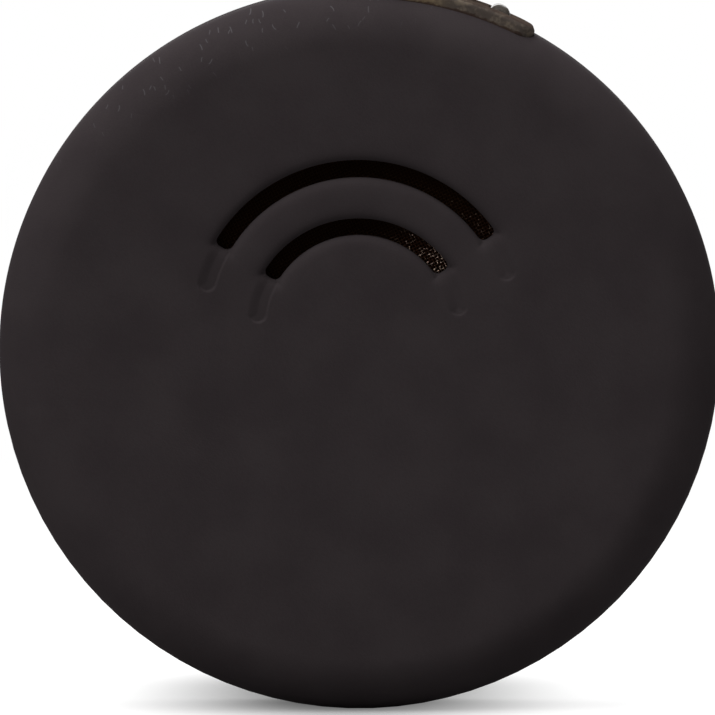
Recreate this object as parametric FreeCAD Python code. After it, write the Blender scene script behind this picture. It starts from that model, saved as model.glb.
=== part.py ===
import FreeCAD, Part
import math
import os

# A round key finder, 30 mm across, that stands on its rim and is seen face on. Lengths are in millimetres.
# The front looks towards -Y and +Z is up. The origin is on the floor, under the middle of the disc.
# A depth is measured from the front face towards the back. A clock angle is in degrees from the top,
# clockwise as the front is looked at, so a turn about +Y raises it.

# Front to back: everything from the front wall to the cover lies in one stack
WALL = 0.9
MESH_T = 0.1
GASKET_T = 0.3
PIEZO_PLATE_T = 0.12
PIEZO_CERAMIC_T = 0.1
PIEZO_TO_BOARD = 0.33
BOARD_T = 0.6
LEAF_T = 0.15
CELL_T = 3.2
PAD_GAP = 0.02
PAD_T = 0.33
COVER_T = 0.75

# Round pieces, by radius, from the coin cell out to the rim
CELL_R = 10.0
CELL_CLEARANCE = 0.3
FRAME_WIDTH = 3.55
FRAME_GAP = 0.1
TONGUE_STEP = 0.15
EDGE_ROUND = 2.25
BOARD_EDGE_GAP = 0.45

# Clearances: still pieces, and pieces that run on each other
FIT = 0.03
RUNNING = 0.05
LOOSE = 0.15

# How far a cut reaches past the face that it opens
OVERSHOOT = 1.0
FULL_TURN_DEG = 360.0

# The two speaker slots, about centres just above the middle of the disc, the inner one's a little lower
SLOT_CENTRE_RISE = 1.1
INNER_SLOT_DROP = 0.1
OUTER_SLOT_R = 6.54
OUTER_SLOT_W = 0.735
OUTER_CHANNEL_SPAN_DEG = 71.5
INNER_SLOT_R = 4.23
INNER_SLOT_W = 0.705
INNER_CHANNEL_SPAN_DEG = 79.3
SLOT_SPAN_DEG = 58.0
SLOT_CORNER_R = 0.15
CHANNEL_EXTRA_W = 0.12
CHANNEL_DEEP = 0.18
CHANNEL_LIP_R = 0.12

# Sounder behind the slots
SLOT_TO_GASKET = 0.1925
GASKET_WIDTH = 1.3
PIEZO_PLATE_INSET = 0.4
PIEZO_CERAMIC_INSET = 2.9
PIEZO_RING_WIDTH = 1.2
MESH_MARGIN = 0.1
RIB_GAP = 0.1
RIB_T = 0.5
RIB_H = 0.7
CONTACT_PAD_R = 0.4
CONTACT_CLOCK_DEG = 225.0
CERAMIC_CONTACT_R = 2.5

# Seam at mid-thickness: a tongue on the back shell snaps into the front shell
TONGUE_T = 0.35
TONGUE_L = 0.7
TONGUE_ROOT_L = 0.7
TONGUE_TO_STRIP = 1.0
BEAD_H = 0.1
BEAD_W = 0.2
BEAD_FROM_TIP = 0.25
SEAM_CHAMFER = 0.08

# Bracket that is let into the rim: a bent strip with a loop on it for a key ring
STRIP_CLOCK_DEG = 13.8
STRIP_HALF_SPAN_DEG = 17.1
STRIP_T = 0.6
STRIP_PROUD = 0.25
STRIP_W = 4.5
STRIP_CORNER_R = 0.7
STRIP_EDGE_R = 0.2
LOOP_R = 1.785
LOOP_HOLE_R = 1.15
LOOP_BRIDGE = 0.35
LOOP_T = 1.6
LOOP_EDGE_R = 0.25
TENON_CLOCK_DEG = 10.5
TENON_W = 1.8
TENON_T = 1.3
TENON_L = 2.0
PIN_R = 0.4
PIN_FROM_TIP = 0.6
PIN_END_GAP = 0.1

# Push button beside the loop, its seal, and the side-acting switch behind it
BUTTON_CLOCK_DEG = 24.8
BUTTON_W = 0.9
BUTTON_H = 2.0
BUTTON_PROUD = 0.26
BUTTON_ROUND_R = 0.4
BUTTON_TRAVEL = 0.2
FLANGE_LIP_W = 0.5
FLANGE_LIP_H = 0.4
FLANGE_T = 0.3
FLANGE_GAP = 0.15
SEAL_T = 0.17
SEAL_L = 0.35
PLUNGER_GAP = 0.02
PLUNGER_W = 0.8
PLUNGER_H = 1.0
PLUNGER_OUT = 0.68
PLUNGER_IN = 0.25
SWITCH_W = 2.8
SWITCH_DEEP = 1.1
SWITCH_H = 2.1

# Three screws clamp the frame and the board to the front shell
SCREW_CLOCKS_DEG = (80.0, 200.0, 320.0)
SCREW_R = 0.5
SCREW_L = 3.0
SCREW_HEAD_R = 0.9
SCREW_HEAD_H = 0.45
SCREW_RECESS_L = 0.9
SCREW_RECESS_W = 0.2
SCREW_TIP_TO_WALL = 0.2
BOSS_R = 1.3

# Inner frame and the cell's contacts
FRAME_TO_COLLAR = 0.05
CLIP_GAP = 0.05
CLIP_T = 0.15
CLIP_TO_FRAME_TOP = 0.25
CLIP_SPAN_DEG = 14.0
CLIP_CLOCK_DEG = 260.0
CLIP_FOOT_L = 1.25
CLIP_FOOT_SPAN_DEG = 6.0
LEAF_R = 6.0
LEAF_HUB_R = 2.0
LEAF_ARM_W = 1.4
LEAF_ARM_COUNT = 3
LEAF_RIM_W = 0.7

# Coin cell: a can closed by a cap, with a seal ring between them
CELL_CAN_T = 0.25
CELL_CRIMP_W = 0.4
CELL_LIP_W = 0.8
CELL_CAP_STEP = 0.15
CELL_SEAL_T = 0.3
PLUS_L = 3.0
PLUS_W = 0.5
MARK_DEEP = 0.05

# Battery cover: a plate with a skirt and three screw lugs, which run in grooves in the back shell
SKIRT_T = 0.65
BORE_GAP = 0.15
LUG_OUT = 0.3
LUG_H = 0.45
LUG_HALF_SPAN_DEG = 8.0
LUG_COUNT = 3
LUG_FIRST_CLOCK_DEG = 30.0
THREAD_LEAD = 3.6
GROOVE_SIDE_GAP = 0.1
GROOVE_END_GAP = 0.08
COLLAR_H = 1.1
COVER_SHELF_GAP = 0.05
COVER_EDGE_GAP = 0.1
COVER_EDGE_R = 0.12
O_RING_T = 0.36
O_RING_GAP = 0.02
COIN_SLOT_L = 8.0
COIN_SLOT_W = 1.6
COIN_SLOT_DEEP = 0.35
PAD_R = 6.0
DOT_R = 0.35
DOT_DEEP = 0.12
OPENING_TURN_DEG = 120.0

# Parts on the front of the board: length along the rim (L), width along the radius (W), height (H)
CHIP_L = 4.0
CHIP_W = 4.0
CHIP_H = 0.7
CHIP_CLOCK_DEG = 180.0
CRYSTAL_L = 2.0
CRYSTAL_W = 1.6
CRYSTAL_H = 0.5
CRYSTAL_CLOCK_DEG = 150.0
ANTENNA_L = 3.2
ANTENNA_W = 1.6
ANTENNA_H = 0.6
ANTENNA_CLOCK_DEG = 235.0
INDUCTOR_L = 2.0
INDUCTOR_W = 2.0
INDUCTOR_H = 0.7
INDUCTOR_CLOCK_DEG = 120.0
CAPACITOR_L = 0.5
CAPACITOR_W = 1.0
CAPACITOR_H = 0.5
CAPACITOR_CLOCKS_DEG = (98.0, 103.0, 108.0, 134.0, 139.0, 216.0, 221.0, 249.0, 254.0)
RESISTOR_L = 0.5
RESISTOR_W = 1.0
RESISTOR_H = 0.35
RESISTOR_CLOCKS_DEG = (56.0, 61.0, 290.0, 295.0, 300.0)

# Depths of the faces in the stack
MESH_BACK = WALL + MESH_T
GASKET_BACK = MESH_BACK + GASKET_T
PIEZO_BACK = GASKET_BACK + PIEZO_PLATE_T
BOARD_FRONT = PIEZO_BACK + PIEZO_TO_BOARD
BOARD_BACK = BOARD_FRONT + BOARD_T
CELL_FRONT = BOARD_BACK + LEAF_T
CELL_BACK = CELL_FRONT + CELL_T
COVER_FRONT = CELL_BACK + PAD_GAP + PAD_T
THICKNESS = COVER_FRONT + COVER_T
SEAM = THICKNESS / 2
SHELF = COVER_FRONT - COVER_SHELF_GAP
COLLAR_FRONT = SHELF - COLLAR_H
FRAME_BACK = COLLAR_FRONT - FRAME_TO_COLLAR
CLIP_BACK = FRAME_BACK - CLIP_TO_FRAME_TOP

# Radii of the round pieces
FRAME_IN = CELL_R + CELL_CLEARANCE
FRAME_OUT = FRAME_IN + FRAME_WIDTH
WALL_IN = FRAME_OUT + FRAME_GAP + TONGUE_STEP
CASE_R = WALL_IN + WALL
FLAT_R = CASE_R - EDGE_ROUND
BOARD_R = FRAME_OUT - BOARD_EDGE_GAP
SCREW_RING_R = (FRAME_IN + FRAME_OUT) / 2
TONGUE_IN = WALL_IN - TONGUE_STEP
TONGUE_OUT = TONGUE_IN + TONGUE_T
SKIRT_OUT = FRAME_IN + SKIRT_T
BORE_R = SKIRT_OUT + BORE_GAP
LUG_R = BORE_R + LUG_OUT
GROOVE_R = LUG_R + GROOVE_SIDE_GAP
O_RING_IN = GROOVE_R + GROOVE_SIDE_GAP
COVER_R = O_RING_IN + O_RING_T + 2 * O_RING_GAP
CELL_CAP_R = CELL_R - CELL_CRIMP_W - CELL_LIP_W
CELL_FILL_R = CELL_R - CELL_CAN_T - CELL_SEAL_T

# Radii of the sounder, about the slots' centre, and of the row of parts on the board
GASKET_R = OUTER_SLOT_R + OUTER_SLOT_W / 2 + SLOT_TO_GASKET + GASKET_WIDTH
PIEZO_PLATE_R = GASKET_R - PIEZO_PLATE_INSET
PIEZO_CERAMIC_R = GASKET_R - PIEZO_CERAMIC_INSET
MESH_R = GASKET_R + MESH_MARGIN
PARTS_RING_R = (GASKET_R + BOARD_R) / 2

# Radii along the button and the bracket, from the rim inwards
STRIP_OUT = CASE_R + STRIP_PROUD
STRIP_IN = STRIP_OUT - STRIP_T
SEAT_R = STRIP_IN - FIT
LOOP_CENTRE_R = STRIP_OUT + LOOP_BRIDGE + LOOP_HOLE_R
TENON_TIP = STRIP_IN - TENON_L
PIN_RING_R = TENON_TIP + PIN_FROM_TIP
BUTTON_TOP = STRIP_OUT + BUTTON_PROUD
FLANGE_W = BUTTON_W + 2 * FLANGE_LIP_W
FLANGE_H = BUTTON_H + 2 * FLANGE_LIP_H
FLANGE_OUT = WALL_IN - FLANGE_GAP
FLANGE_IN = FLANGE_OUT - FLANGE_T
PLUNGER_TOP = FLANGE_IN - PLUNGER_GAP
SWITCH_FACE = PLUNGER_TOP - PLUNGER_OUT
SWITCH_BACK = SWITCH_FACE - SWITCH_DEEP

UP = FreeCAD.Vector(0, 0, 1)
ACROSS = FreeCAD.Vector(0, 1, 0)
CENTRE = FreeCAD.Vector(0, 0, CASE_R)
SLOT_CENTRE = CENTRE + UP * SLOT_CENTRE_RISE
INNER_SLOT_CENTRE = SLOT_CENTRE - UP * INNER_SLOT_DROP


def level(depth):
    """The Y of a depth behind the front face."""
    return depth - THICKNESS / 2


def outward(clock):
    """The unit vector that points from the disc's axis to the rim at a clock angle."""
    turn = math.radians(clock)
    return FreeCAD.Vector(math.sin(turn), 0, math.cos(turn))


def spot(clock, radius, depth, hub=CENTRE):
    """A point given by its clock angle, its distance from the hub's axis and its depth."""
    return hub + outward(clock) * radius + ACROSS * level(depth)


def disc(radius, near, far, middle=CENTRE):
    """A round plate square to the disc's axis, between two depths."""
    foot = FreeCAD.Vector(middle.x, level(near), middle.z)
    return Part.makeCylinder(radius, far - near, foot, ACROSS)


def ring(outer, inner, near, far, middle=CENTRE):
    """A flat ring between two depths."""
    return disc(outer, near, far, middle).cut(disc(inner, near, far, middle))


def sector(outer, inner, near, far, first, last, middle=CENTRE):
    """The piece of a flat ring between two clock angles."""
    corners = [
        spot(first, inner, near, middle),
        spot(first, outer, near, middle),
        spot(first, outer, far, middle),
        spot(first, inner, far, middle),
    ]
    face = Part.Face(Part.makePolygon(corners + corners[:1]))
    return face.revolve(middle, ACROSS, last - first)


def block(clock, inner, outer, width, near, far):
    """A box whose long axis lies along the radius at a clock angle."""
    low = FreeCAD.Vector(-width / 2, level(near), CASE_R + inner)
    box = Part.makeBox(width, far - near, outer - inner, low)
    box.rotate(CENTRE, ACROSS, clock)
    return box


def pillow(inset):
    """The whole disc with its rounded edges, drawn in by a wall thickness."""
    body = disc(CASE_R - inset, inset, THICKNESS - inset)
    rims = [edge for edge in body.Edges if edge.Closed]
    return body.makeFillet(EDGE_ROUND - inset, rims)


def shell(near, far):
    """The hollow casing between two depths."""
    slab = disc(CASE_R + WALL, near, far)
    return pillow(0).cut(pillow(WALL)).common(slab)


def arc_channel(radius, width, span, hub):
    """A shallow curved channel in the front face, with full round ends."""
    half = width / 2
    cutter = sector(radius + half, radius - half, -WALL, CHANNEL_DEEP, -span, span, hub)
    for end in (-span, span):
        middle = spot(end, radius, 0, hub)
        cutter = cutter.fuse(disc(half, -WALL, CHANNEL_DEEP, middle))
    return cutter.removeSplitter()


def arc_slot(radius, width, hub):
    """A curved slot right through the front wall, nearly square at its ends."""
    half = width / 2
    back = WALL + OVERSHOOT
    cutter = sector(radius + half, radius - half, 0, back, -SLOT_SPAN_DEG, SLOT_SPAN_DEG, hub)
    corners = [edge for edge in cutter.Edges if is_along_axis(edge)]
    return cutter.makeFillet(SLOT_CORNER_R, corners)


def is_along_axis(edge):
    """True for a straight edge that runs from front to back."""
    first, last = edge.Vertexes[0].Point, edge.Vertexes[-1].Point
    run = last - first
    return run.Length > 0 and abs(abs(run.y) - run.Length) < 1e-6


def helical_band(inner, outer, height, depth, first, last):
    """A square-section band that climbs towards the back as its clock angle rises."""
    helix = Part.makeHelix(THREAD_LEAD, THREAD_LEAD * (last - first) / FULL_TURN_DEG, outer)
    corners = [
        FreeCAD.Vector(inner, 0, -height / 2),
        FreeCAD.Vector(outer, 0, -height / 2),
        FreeCAD.Vector(outer, 0, height / 2),
        FreeCAD.Vector(inner, 0, height / 2),
    ]
    section = Part.makePolygon(corners + corners[:1])
    band = Part.Wire(helix.Edges).makePipeShell([section], True, True)
    band.rotate(FreeCAD.Vector(0, 0, 0), FreeCAD.Vector(1, 0, 0), -90)
    band.rotate(FreeCAD.Vector(0, 0, 0), ACROSS, first - 90)
    band.translate(CENTRE + ACROSS * level(depth))
    return band


def lug_clocks():
    """The clock angles at the middles of the cover's lugs."""
    return [LUG_FIRST_CLOCK_DEG + FULL_TURN_DEG / LUG_COUNT * k for k in range(LUG_COUNT)]


def rise(turn):
    """How far the thread climbs over a turn in degrees."""
    return THREAD_LEAD * turn / FULL_TURN_DEG


LUG_DEPTH = COLLAR_FRONT + LUG_H / 2 + GROOVE_SIDE_GAP + rise(LUG_HALF_SPAN_DEG)


def strip_plate(outer, inner, margin):
    """A plate bent to the rim, with rounded corners, larger than the bracket's strip by a margin."""
    spare = math.degrees(margin / STRIP_IN)
    plate = sector(
        outer,
        inner,
        SEAM - STRIP_W / 2 - margin,
        SEAM + STRIP_W / 2 + margin,
        STRIP_CLOCK_DEG - STRIP_HALF_SPAN_DEG - spare,
        STRIP_CLOCK_DEG + STRIP_HALF_SPAN_DEG + spare,
    )
    corners = [edge for edge in plate.Edges if runs_outward(edge, outer - inner)]
    return plate.makeFillet(STRIP_CORNER_R, corners)


def runs_outward(edge, length):
    """True for a straight edge of that length that runs along a radius."""
    first, last = edge.Vertexes[0].Point - CENTRE, edge.Vertexes[-1].Point - CENTRE
    gain = math.hypot(last.x, last.z) - math.hypot(first.x, first.z)
    return abs(abs(gain) - length) < 1e-6 and abs(last.y - first.y) < 1e-6


def bracket_cuts():
    """What both halves of the casing lose to the bracket and the button."""
    seat = strip_plate(STRIP_OUT + OVERSHOOT, SEAT_R, FIT)
    tenon_window = block(
        TENON_CLOCK_DEG,
        TONGUE_IN - OVERSHOOT,
        STRIP_OUT,
        TENON_W + 2 * FIT,
        SEAM - TENON_T / 2 - FIT,
        SEAM + TENON_T / 2 + FIT,
    )
    reach_w = BUTTON_W / 2 + SEAL_T + RUNNING
    reach_h = BUTTON_H / 2 + SEAL_T + RUNNING
    button_window = block(
        BUTTON_CLOCK_DEG, FLANGE_OUT - OVERSHOOT, STRIP_OUT, 2 * reach_w, SEAM - reach_h, SEAM + reach_h
    )
    flange_span = math.degrees((FLANGE_W / 2 + LOOSE) / FLANGE_OUT)
    flange_room = sector(
        WALL_IN,
        FLANGE_OUT - OVERSHOOT,
        SEAM - FLANGE_H / 2 - LOOSE,
        SEAM + FLANGE_H / 2 + LOOSE,
        BUTTON_CLOCK_DEG - flange_span,
        BUTTON_CLOCK_DEG + flange_span,
    )
    return seat.fuse([tenon_window, button_window, flange_room])


def bracket_free_clocks():
    """Where the seam's tongue stops for the bracket, as its first and last clock angles."""
    margin = math.degrees(TONGUE_TO_STRIP / WALL_IN)
    first = STRIP_CLOCK_DEG - STRIP_HALF_SPAN_DEG - margin
    last = STRIP_CLOCK_DEG + STRIP_HALF_SPAN_DEG + margin
    return first, last


def seam_chamfer():
    """The fine V around the rim where the two shells meet."""
    corners = [
        spot(0, CASE_R - SEAM_CHAMFER, SEAM),
        spot(0, CASE_R + SEAM_CHAMFER, SEAM - 2 * SEAM_CHAMFER),
        spot(0, CASE_R + SEAM_CHAMFER, SEAM + 2 * SEAM_CHAMFER),
    ]
    face = Part.Face(Part.makePolygon(corners + corners[:1]))
    return face.revolve(CENTRE, ACROSS, FULL_TURN_DEG)


def front_shell():
    """Front half of the casing, with the speaker slots, the sounder's rib and three screw bosses."""
    body = shell(0, SEAM)
    start, stop = bracket_free_clocks()
    tongue_room = sector(
        TONGUE_OUT + RUNNING,
        TONGUE_IN - OVERSHOOT,
        SEAM - TONGUE_L - RUNNING,
        SEAM,
        stop,
        start + FULL_TURN_DEG,
    )
    bead_at = SEAM - TONGUE_L + BEAD_FROM_TIP
    bead_room = sector(
        TONGUE_OUT + BEAD_H + RUNNING,
        TONGUE_IN,
        bead_at - BEAD_W / 2 - RUNNING,
        bead_at + BEAD_W / 2 + RUNNING,
        stop,
        start + FULL_TURN_DEG,
    )
    rib_in = MESH_R + RIB_GAP
    rib = ring(rib_in + RIB_T, rib_in, WALL - FIT, WALL + RIB_H, SLOT_CENTRE)
    body = body.fuse(rib)
    pilots = []
    for clock in SCREW_CLOCKS_DEG:
        middle = spot(clock, SCREW_RING_R, 0)
        boss = disc(BOSS_R, WALL - FIT, BOARD_FRONT, middle)
        body = body.fuse(boss)
        pilots.append(disc(SCREW_R, WALL - SCREW_TIP_TO_WALL - LOOSE, BOARD_FRONT, middle))
    outer_w = OUTER_SLOT_W + CHANNEL_EXTRA_W
    inner_w = INNER_SLOT_W + CHANNEL_EXTRA_W
    body = body.cut(arc_channel(OUTER_SLOT_R, outer_w, OUTER_CHANNEL_SPAN_DEG, SLOT_CENTRE))
    body = body.cut(arc_channel(INNER_SLOT_R, inner_w, INNER_CHANNEL_SPAN_DEG, INNER_SLOT_CENTRE))
    lips = [edge for edge in body.Edges if is_channel_lip(edge)]
    body = body.makeFillet(CHANNEL_LIP_R, lips)
    slots = [
        arc_slot(OUTER_SLOT_R, OUTER_SLOT_W, SLOT_CENTRE),
        arc_slot(INNER_SLOT_R, INNER_SLOT_W, INNER_SLOT_CENTRE),
    ]
    return body.cut([tongue_room, bead_room, seam_chamfer(), bracket_cuts()] + pilots + slots)


def is_channel_lip(edge):
    """True for an edge that lies in the front face, inside its flat."""
    box = edge.BoundBox
    flat = box.YLength < 1e-6 and abs(box.YMin - level(0)) < 1e-6
    return flat and box.XMax < FLAT_R - WALL


def back_shell():
    """Back half of the casing, with the seam's tongue and the threaded collar for the cover."""
    body = shell(SEAM, THICKNESS)
    start, stop = bracket_free_clocks()
    root = ring(WALL_IN + FIT, TONGUE_IN, SEAM, SEAM + TONGUE_ROOT_L)
    tongue = sector(TONGUE_OUT, TONGUE_IN, SEAM - TONGUE_L, SEAM + FIT, stop, start + FULL_TURN_DEG)
    bead_at = SEAM - TONGUE_L + BEAD_FROM_TIP
    bead = sector(
        TONGUE_OUT + BEAD_H,
        TONGUE_OUT - FIT,
        bead_at - BEAD_W / 2,
        bead_at + BEAD_W / 2,
        stop,
        start + FULL_TURN_DEG,
    )
    collar = disc(FLAT_R, COLLAR_FRONT, THICKNESS - WALL / 2)
    body = body.fuse([root, tongue, bead, collar])
    bore = disc(BORE_R, COLLAR_FRONT - OVERSHOOT, THICKNESS + OVERSHOOT)
    rebate = disc(COVER_R + COVER_EDGE_GAP, SHELF, THICKNESS + OVERSHOOT)
    body = body.cut([bore, rebate, seam_chamfer(), bracket_cuts()])
    for clock in lug_clocks():
        body = body.cut(cover_groove(clock))
    marks = [back_dot(clock, CASE_R - EDGE_ROUND) for clock in (0.0, OPENING_TURN_DEG)]
    return body.cut(marks)


def cover_groove(clock):
    """The path of one lug, from its closed place until it is clear of the collar."""
    closed_end = clock - LUG_HALF_SPAN_DEG - math.degrees(GROOVE_END_GAP / LUG_R)
    clear_of_shelf = SHELF + LUG_H / 2 + GROOVE_SIDE_GAP - LUG_DEPTH
    last = clock + LUG_HALF_SPAN_DEG + FULL_TURN_DEG * clear_of_shelf / THREAD_LEAD
    depth = LUG_DEPTH - rise(clock - closed_end)
    height = LUG_H + 2 * GROOVE_SIDE_GAP
    return helical_band(BORE_R - BORE_GAP, GROOVE_R, height, depth, closed_end, last)


def back_dot(clock, radius):
    """A small sunk dot in the back face, which shows how far the cover is turned."""
    return disc(DOT_R, THICKNESS - DOT_DEEP, THICKNESS + OVERSHOOT, spot(clock, radius, 0))


def inner_frame():
    """Ring that holds the cell in place and clamps the board, with pockets for what sits in it."""
    body = ring(FRAME_OUT, FRAME_IN, BOARD_BACK, FRAME_BACK)
    seat = screw_seat()
    cuts = []
    for clock in SCREW_CLOCKS_DEG:
        middle = spot(clock, SCREW_RING_R, 0)
        cuts.append(disc(SCREW_R + RUNNING, BOARD_BACK, FRAME_BACK, middle))
        cuts.append(disc(SCREW_HEAD_R + LOOSE, seat, FRAME_BACK, middle))
    cuts.append(
        block(
            BUTTON_CLOCK_DEG,
            SWITCH_BACK - RUNNING,
            CASE_R,
            SWITCH_W + 2 * LOOSE,
            BOARD_BACK,
            BOARD_BACK + SWITCH_H + LOOSE,
        )
    )
    flange_room = FLANGE_IN - BUTTON_TRAVEL - LOOSE
    cuts.append(
        block(BUTTON_CLOCK_DEG, flange_room, CASE_R, FLANGE_W + 2 * LOOSE, BOARD_BACK, FRAME_BACK)
    )
    cuts.append(
        block(
            TENON_CLOCK_DEG,
            TENON_TIP - FIT,
            CASE_R,
            TENON_W + 2 * FIT,
            SEAM - TENON_T / 2 - FIT,
            SEAM + TENON_T / 2 + FIT,
        )
    )
    pin_spot = spot(TENON_CLOCK_DEG, PIN_RING_R, 0)
    cuts.append(disc(PIN_R + FIT, BOARD_BACK + PIN_END_GAP, FRAME_BACK, pin_spot))
    foot_out = FRAME_IN - CELL_CLEARANCE + CLIP_GAP + CLIP_FOOT_L + FIT
    foot_span = CLIP_FOOT_SPAN_DEG + math.degrees(FIT / FRAME_IN)
    cuts.append(
        sector(
            foot_out,
            FRAME_IN - FIT,
            BOARD_BACK,
            BOARD_BACK + LEAF_T + FIT,
            CLIP_CLOCK_DEG - foot_span,
            CLIP_CLOCK_DEG + foot_span,
        )
    )
    return body.cut(cuts)


def screw_seat():
    """The depth at which the screw heads bear on the frame."""
    return WALL - SCREW_TIP_TO_WALL + SCREW_L


def circuit_board():
    """Round board with a hole for each screw."""
    holes = [
        disc(SCREW_R + FIT, BOARD_FRONT, BOARD_BACK, spot(clock, SCREW_RING_R, 0))
        for clock in SCREW_CLOCKS_DEG
    ]
    return disc(BOARD_R, BOARD_FRONT, BOARD_BACK).cut(holes)


def board_screws():
    """Three pan-head screws with cross recesses, driven from the back."""
    seat = screw_seat()
    back = seat + SCREW_HEAD_H
    screws = []
    for clock in SCREW_CLOCKS_DEG:
        middle = spot(clock, SCREW_RING_R, 0)
        shank = disc(SCREW_R, seat - SCREW_L, seat + FIT, middle)
        head = disc(SCREW_HEAD_R, seat, back, middle)
        top = [edge for edge in head.Edges if edge.Closed and edge.BoundBox.YMin > level(back) - FIT]
        head = head.makeFillet(SCREW_HEAD_H / 3, top)
        middle_r, half = SCREW_RING_R, SCREW_RECESS_L / 2
        along = block(
            clock, middle_r - half, middle_r + half, SCREW_RECESS_W, back - SCREW_HEAD_H / 2, back
        )
        across = block(
            clock,
            middle_r - SCREW_RECESS_W / 2,
            middle_r + SCREW_RECESS_W / 2,
            SCREW_RECESS_L,
            back - SCREW_HEAD_H / 2,
            back,
        )
        screws.append(shank.fuse(head).cut([along, across]))
    return Part.makeCompound(screws)


def on_board(length, width, height, clock):
    """A part soldered to the front of the board, as a box of length, width and height."""
    inner, outer = PARTS_RING_R - width / 2, PARTS_RING_R + width / 2
    return block(clock, inner, outer, length, BOARD_FRONT - height, BOARD_FRONT)


def radio_chip():
    """The radio and processor in one moulded package."""
    return on_board(CHIP_L, CHIP_W, CHIP_H, CHIP_CLOCK_DEG)


def crystal():
    """The crystal that sets the radio's frequency."""
    return on_board(CRYSTAL_L, CRYSTAL_W, CRYSTAL_H, CRYSTAL_CLOCK_DEG)


def chip_antenna():
    """The ceramic antenna near the board's edge."""
    return on_board(ANTENNA_L, ANTENNA_W, ANTENNA_H, ANTENNA_CLOCK_DEG)


def power_inductor():
    """The supply's inductor."""
    return on_board(INDUCTOR_L, INDUCTOR_W, INDUCTOR_H, INDUCTOR_CLOCK_DEG)


def speaker_mesh():
    """Fine metal mesh behind the slots, which keeps dust out, as a closed sheet."""
    return disc(MESH_R, WALL, MESH_BACK, SLOT_CENTRE)


def mesh_gasket():
    """Foam ring between the mesh and the sounder."""
    return ring(GASKET_R, GASKET_R - GASKET_WIDTH, MESH_BACK, GASKET_BACK, SLOT_CENTRE)


def piezo_plate():
    """Brass plate of the sounder."""
    return disc(PIEZO_PLATE_R, GASKET_BACK, PIEZO_BACK, SLOT_CENTRE)


def piezo_ceramic():
    """Ceramic disc bonded to the back of the brass plate."""
    return disc(PIEZO_CERAMIC_R, PIEZO_BACK, PIEZO_BACK + PIEZO_CERAMIC_T, SLOT_CENTRE)


def piezo_ring():
    """Ring that presses the sounder's rim on its gasket, backed by the board."""
    inner = GASKET_R - PIEZO_RING_WIDTH
    body = ring(GASKET_R, inner, GASKET_BACK, BOARD_FRONT, SLOT_CENTRE)
    return body.cut(disc(PIEZO_PLATE_R + RUNNING, GASKET_BACK, PIEZO_BACK, SLOT_CENTRE))


def piezo_contacts():
    """Two small pads that join the board to the brass plate and to the ceramic."""
    brass_r = (PIEZO_CERAMIC_R + GASKET_R - PIEZO_RING_WIDTH) / 2
    on_brass = spot(CONTACT_CLOCK_DEG, brass_r, 0, SLOT_CENTRE)
    on_ceramic = spot(CONTACT_CLOCK_DEG, CERAMIC_CONTACT_R, 0, SLOT_CENTRE)
    return Part.makeCompound(
        [
            disc(CONTACT_PAD_R, PIEZO_BACK, BOARD_FRONT, on_brass),
            disc(CONTACT_PAD_R, PIEZO_BACK + PIEZO_CERAMIC_T, BOARD_FRONT, on_ceramic),
        ]
    )


def tact_switch():
    """Body of the side-acting switch, hollow where its plunger slides."""
    body = block(
        BUTTON_CLOCK_DEG, SWITCH_BACK, SWITCH_FACE, SWITCH_W, BOARD_BACK, BOARD_BACK + SWITCH_H
    )
    guide = block(
        BUTTON_CLOCK_DEG,
        SWITCH_FACE - PLUNGER_IN - BUTTON_TRAVEL - RUNNING,
        SWITCH_FACE,
        PLUNGER_W + 2 * RUNNING,
        SEAM - PLUNGER_H / 2 - RUNNING,
        SEAM + PLUNGER_H / 2 + RUNNING,
    )
    return body.cut(guide)


def switch_plunger():
    """The switch's sliding plunger, just short of the button's flange."""
    return block(
        BUTTON_CLOCK_DEG,
        SWITCH_FACE - PLUNGER_IN,
        PLUNGER_TOP,
        PLUNGER_W,
        SEAM - PLUNGER_H / 2,
        SEAM + PLUNGER_H / 2,
    )


def side_button():
    """Button cap with a domed top, and a flange that keeps it in the case."""
    stem = block(
        BUTTON_CLOCK_DEG,
        FLANGE_OUT - FIT,
        BUTTON_TOP,
        BUTTON_W,
        SEAM - BUTTON_H / 2,
        SEAM + BUTTON_H / 2,
    )
    top = [edge for edge in stem.Edges if is_button_top(edge)]
    stem = stem.makeFillet(BUTTON_ROUND_R, top)
    flange = block(
        BUTTON_CLOCK_DEG, FLANGE_IN, FLANGE_OUT, FLANGE_W, SEAM - FLANGE_H / 2, SEAM + FLANGE_H / 2
    )
    return stem.fuse(flange)


def is_button_top(edge):
    """True for an edge of the button's outer end."""
    reach = [(v.Point - CENTRE).dot(outward(BUTTON_CLOCK_DEG)) for v in edge.Vertexes]
    return min(reach) > BUTTON_TOP - FIT


def button_seal():
    """Soft ring around the button's stem, in the window of the casing's wall."""
    outer = SEAT_R - RUNNING
    inner = outer - SEAL_L
    reach_w = BUTTON_W / 2 + SEAL_T
    reach_h = BUTTON_H / 2 + SEAL_T
    body = block(BUTTON_CLOCK_DEG, inner, outer, 2 * reach_w, SEAM - reach_h, SEAM + reach_h)
    hole = block(
        BUTTON_CLOCK_DEG, inner, outer, BUTTON_W, SEAM - BUTTON_H / 2, SEAM + BUTTON_H / 2
    )
    return body.cut(hole)


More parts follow.
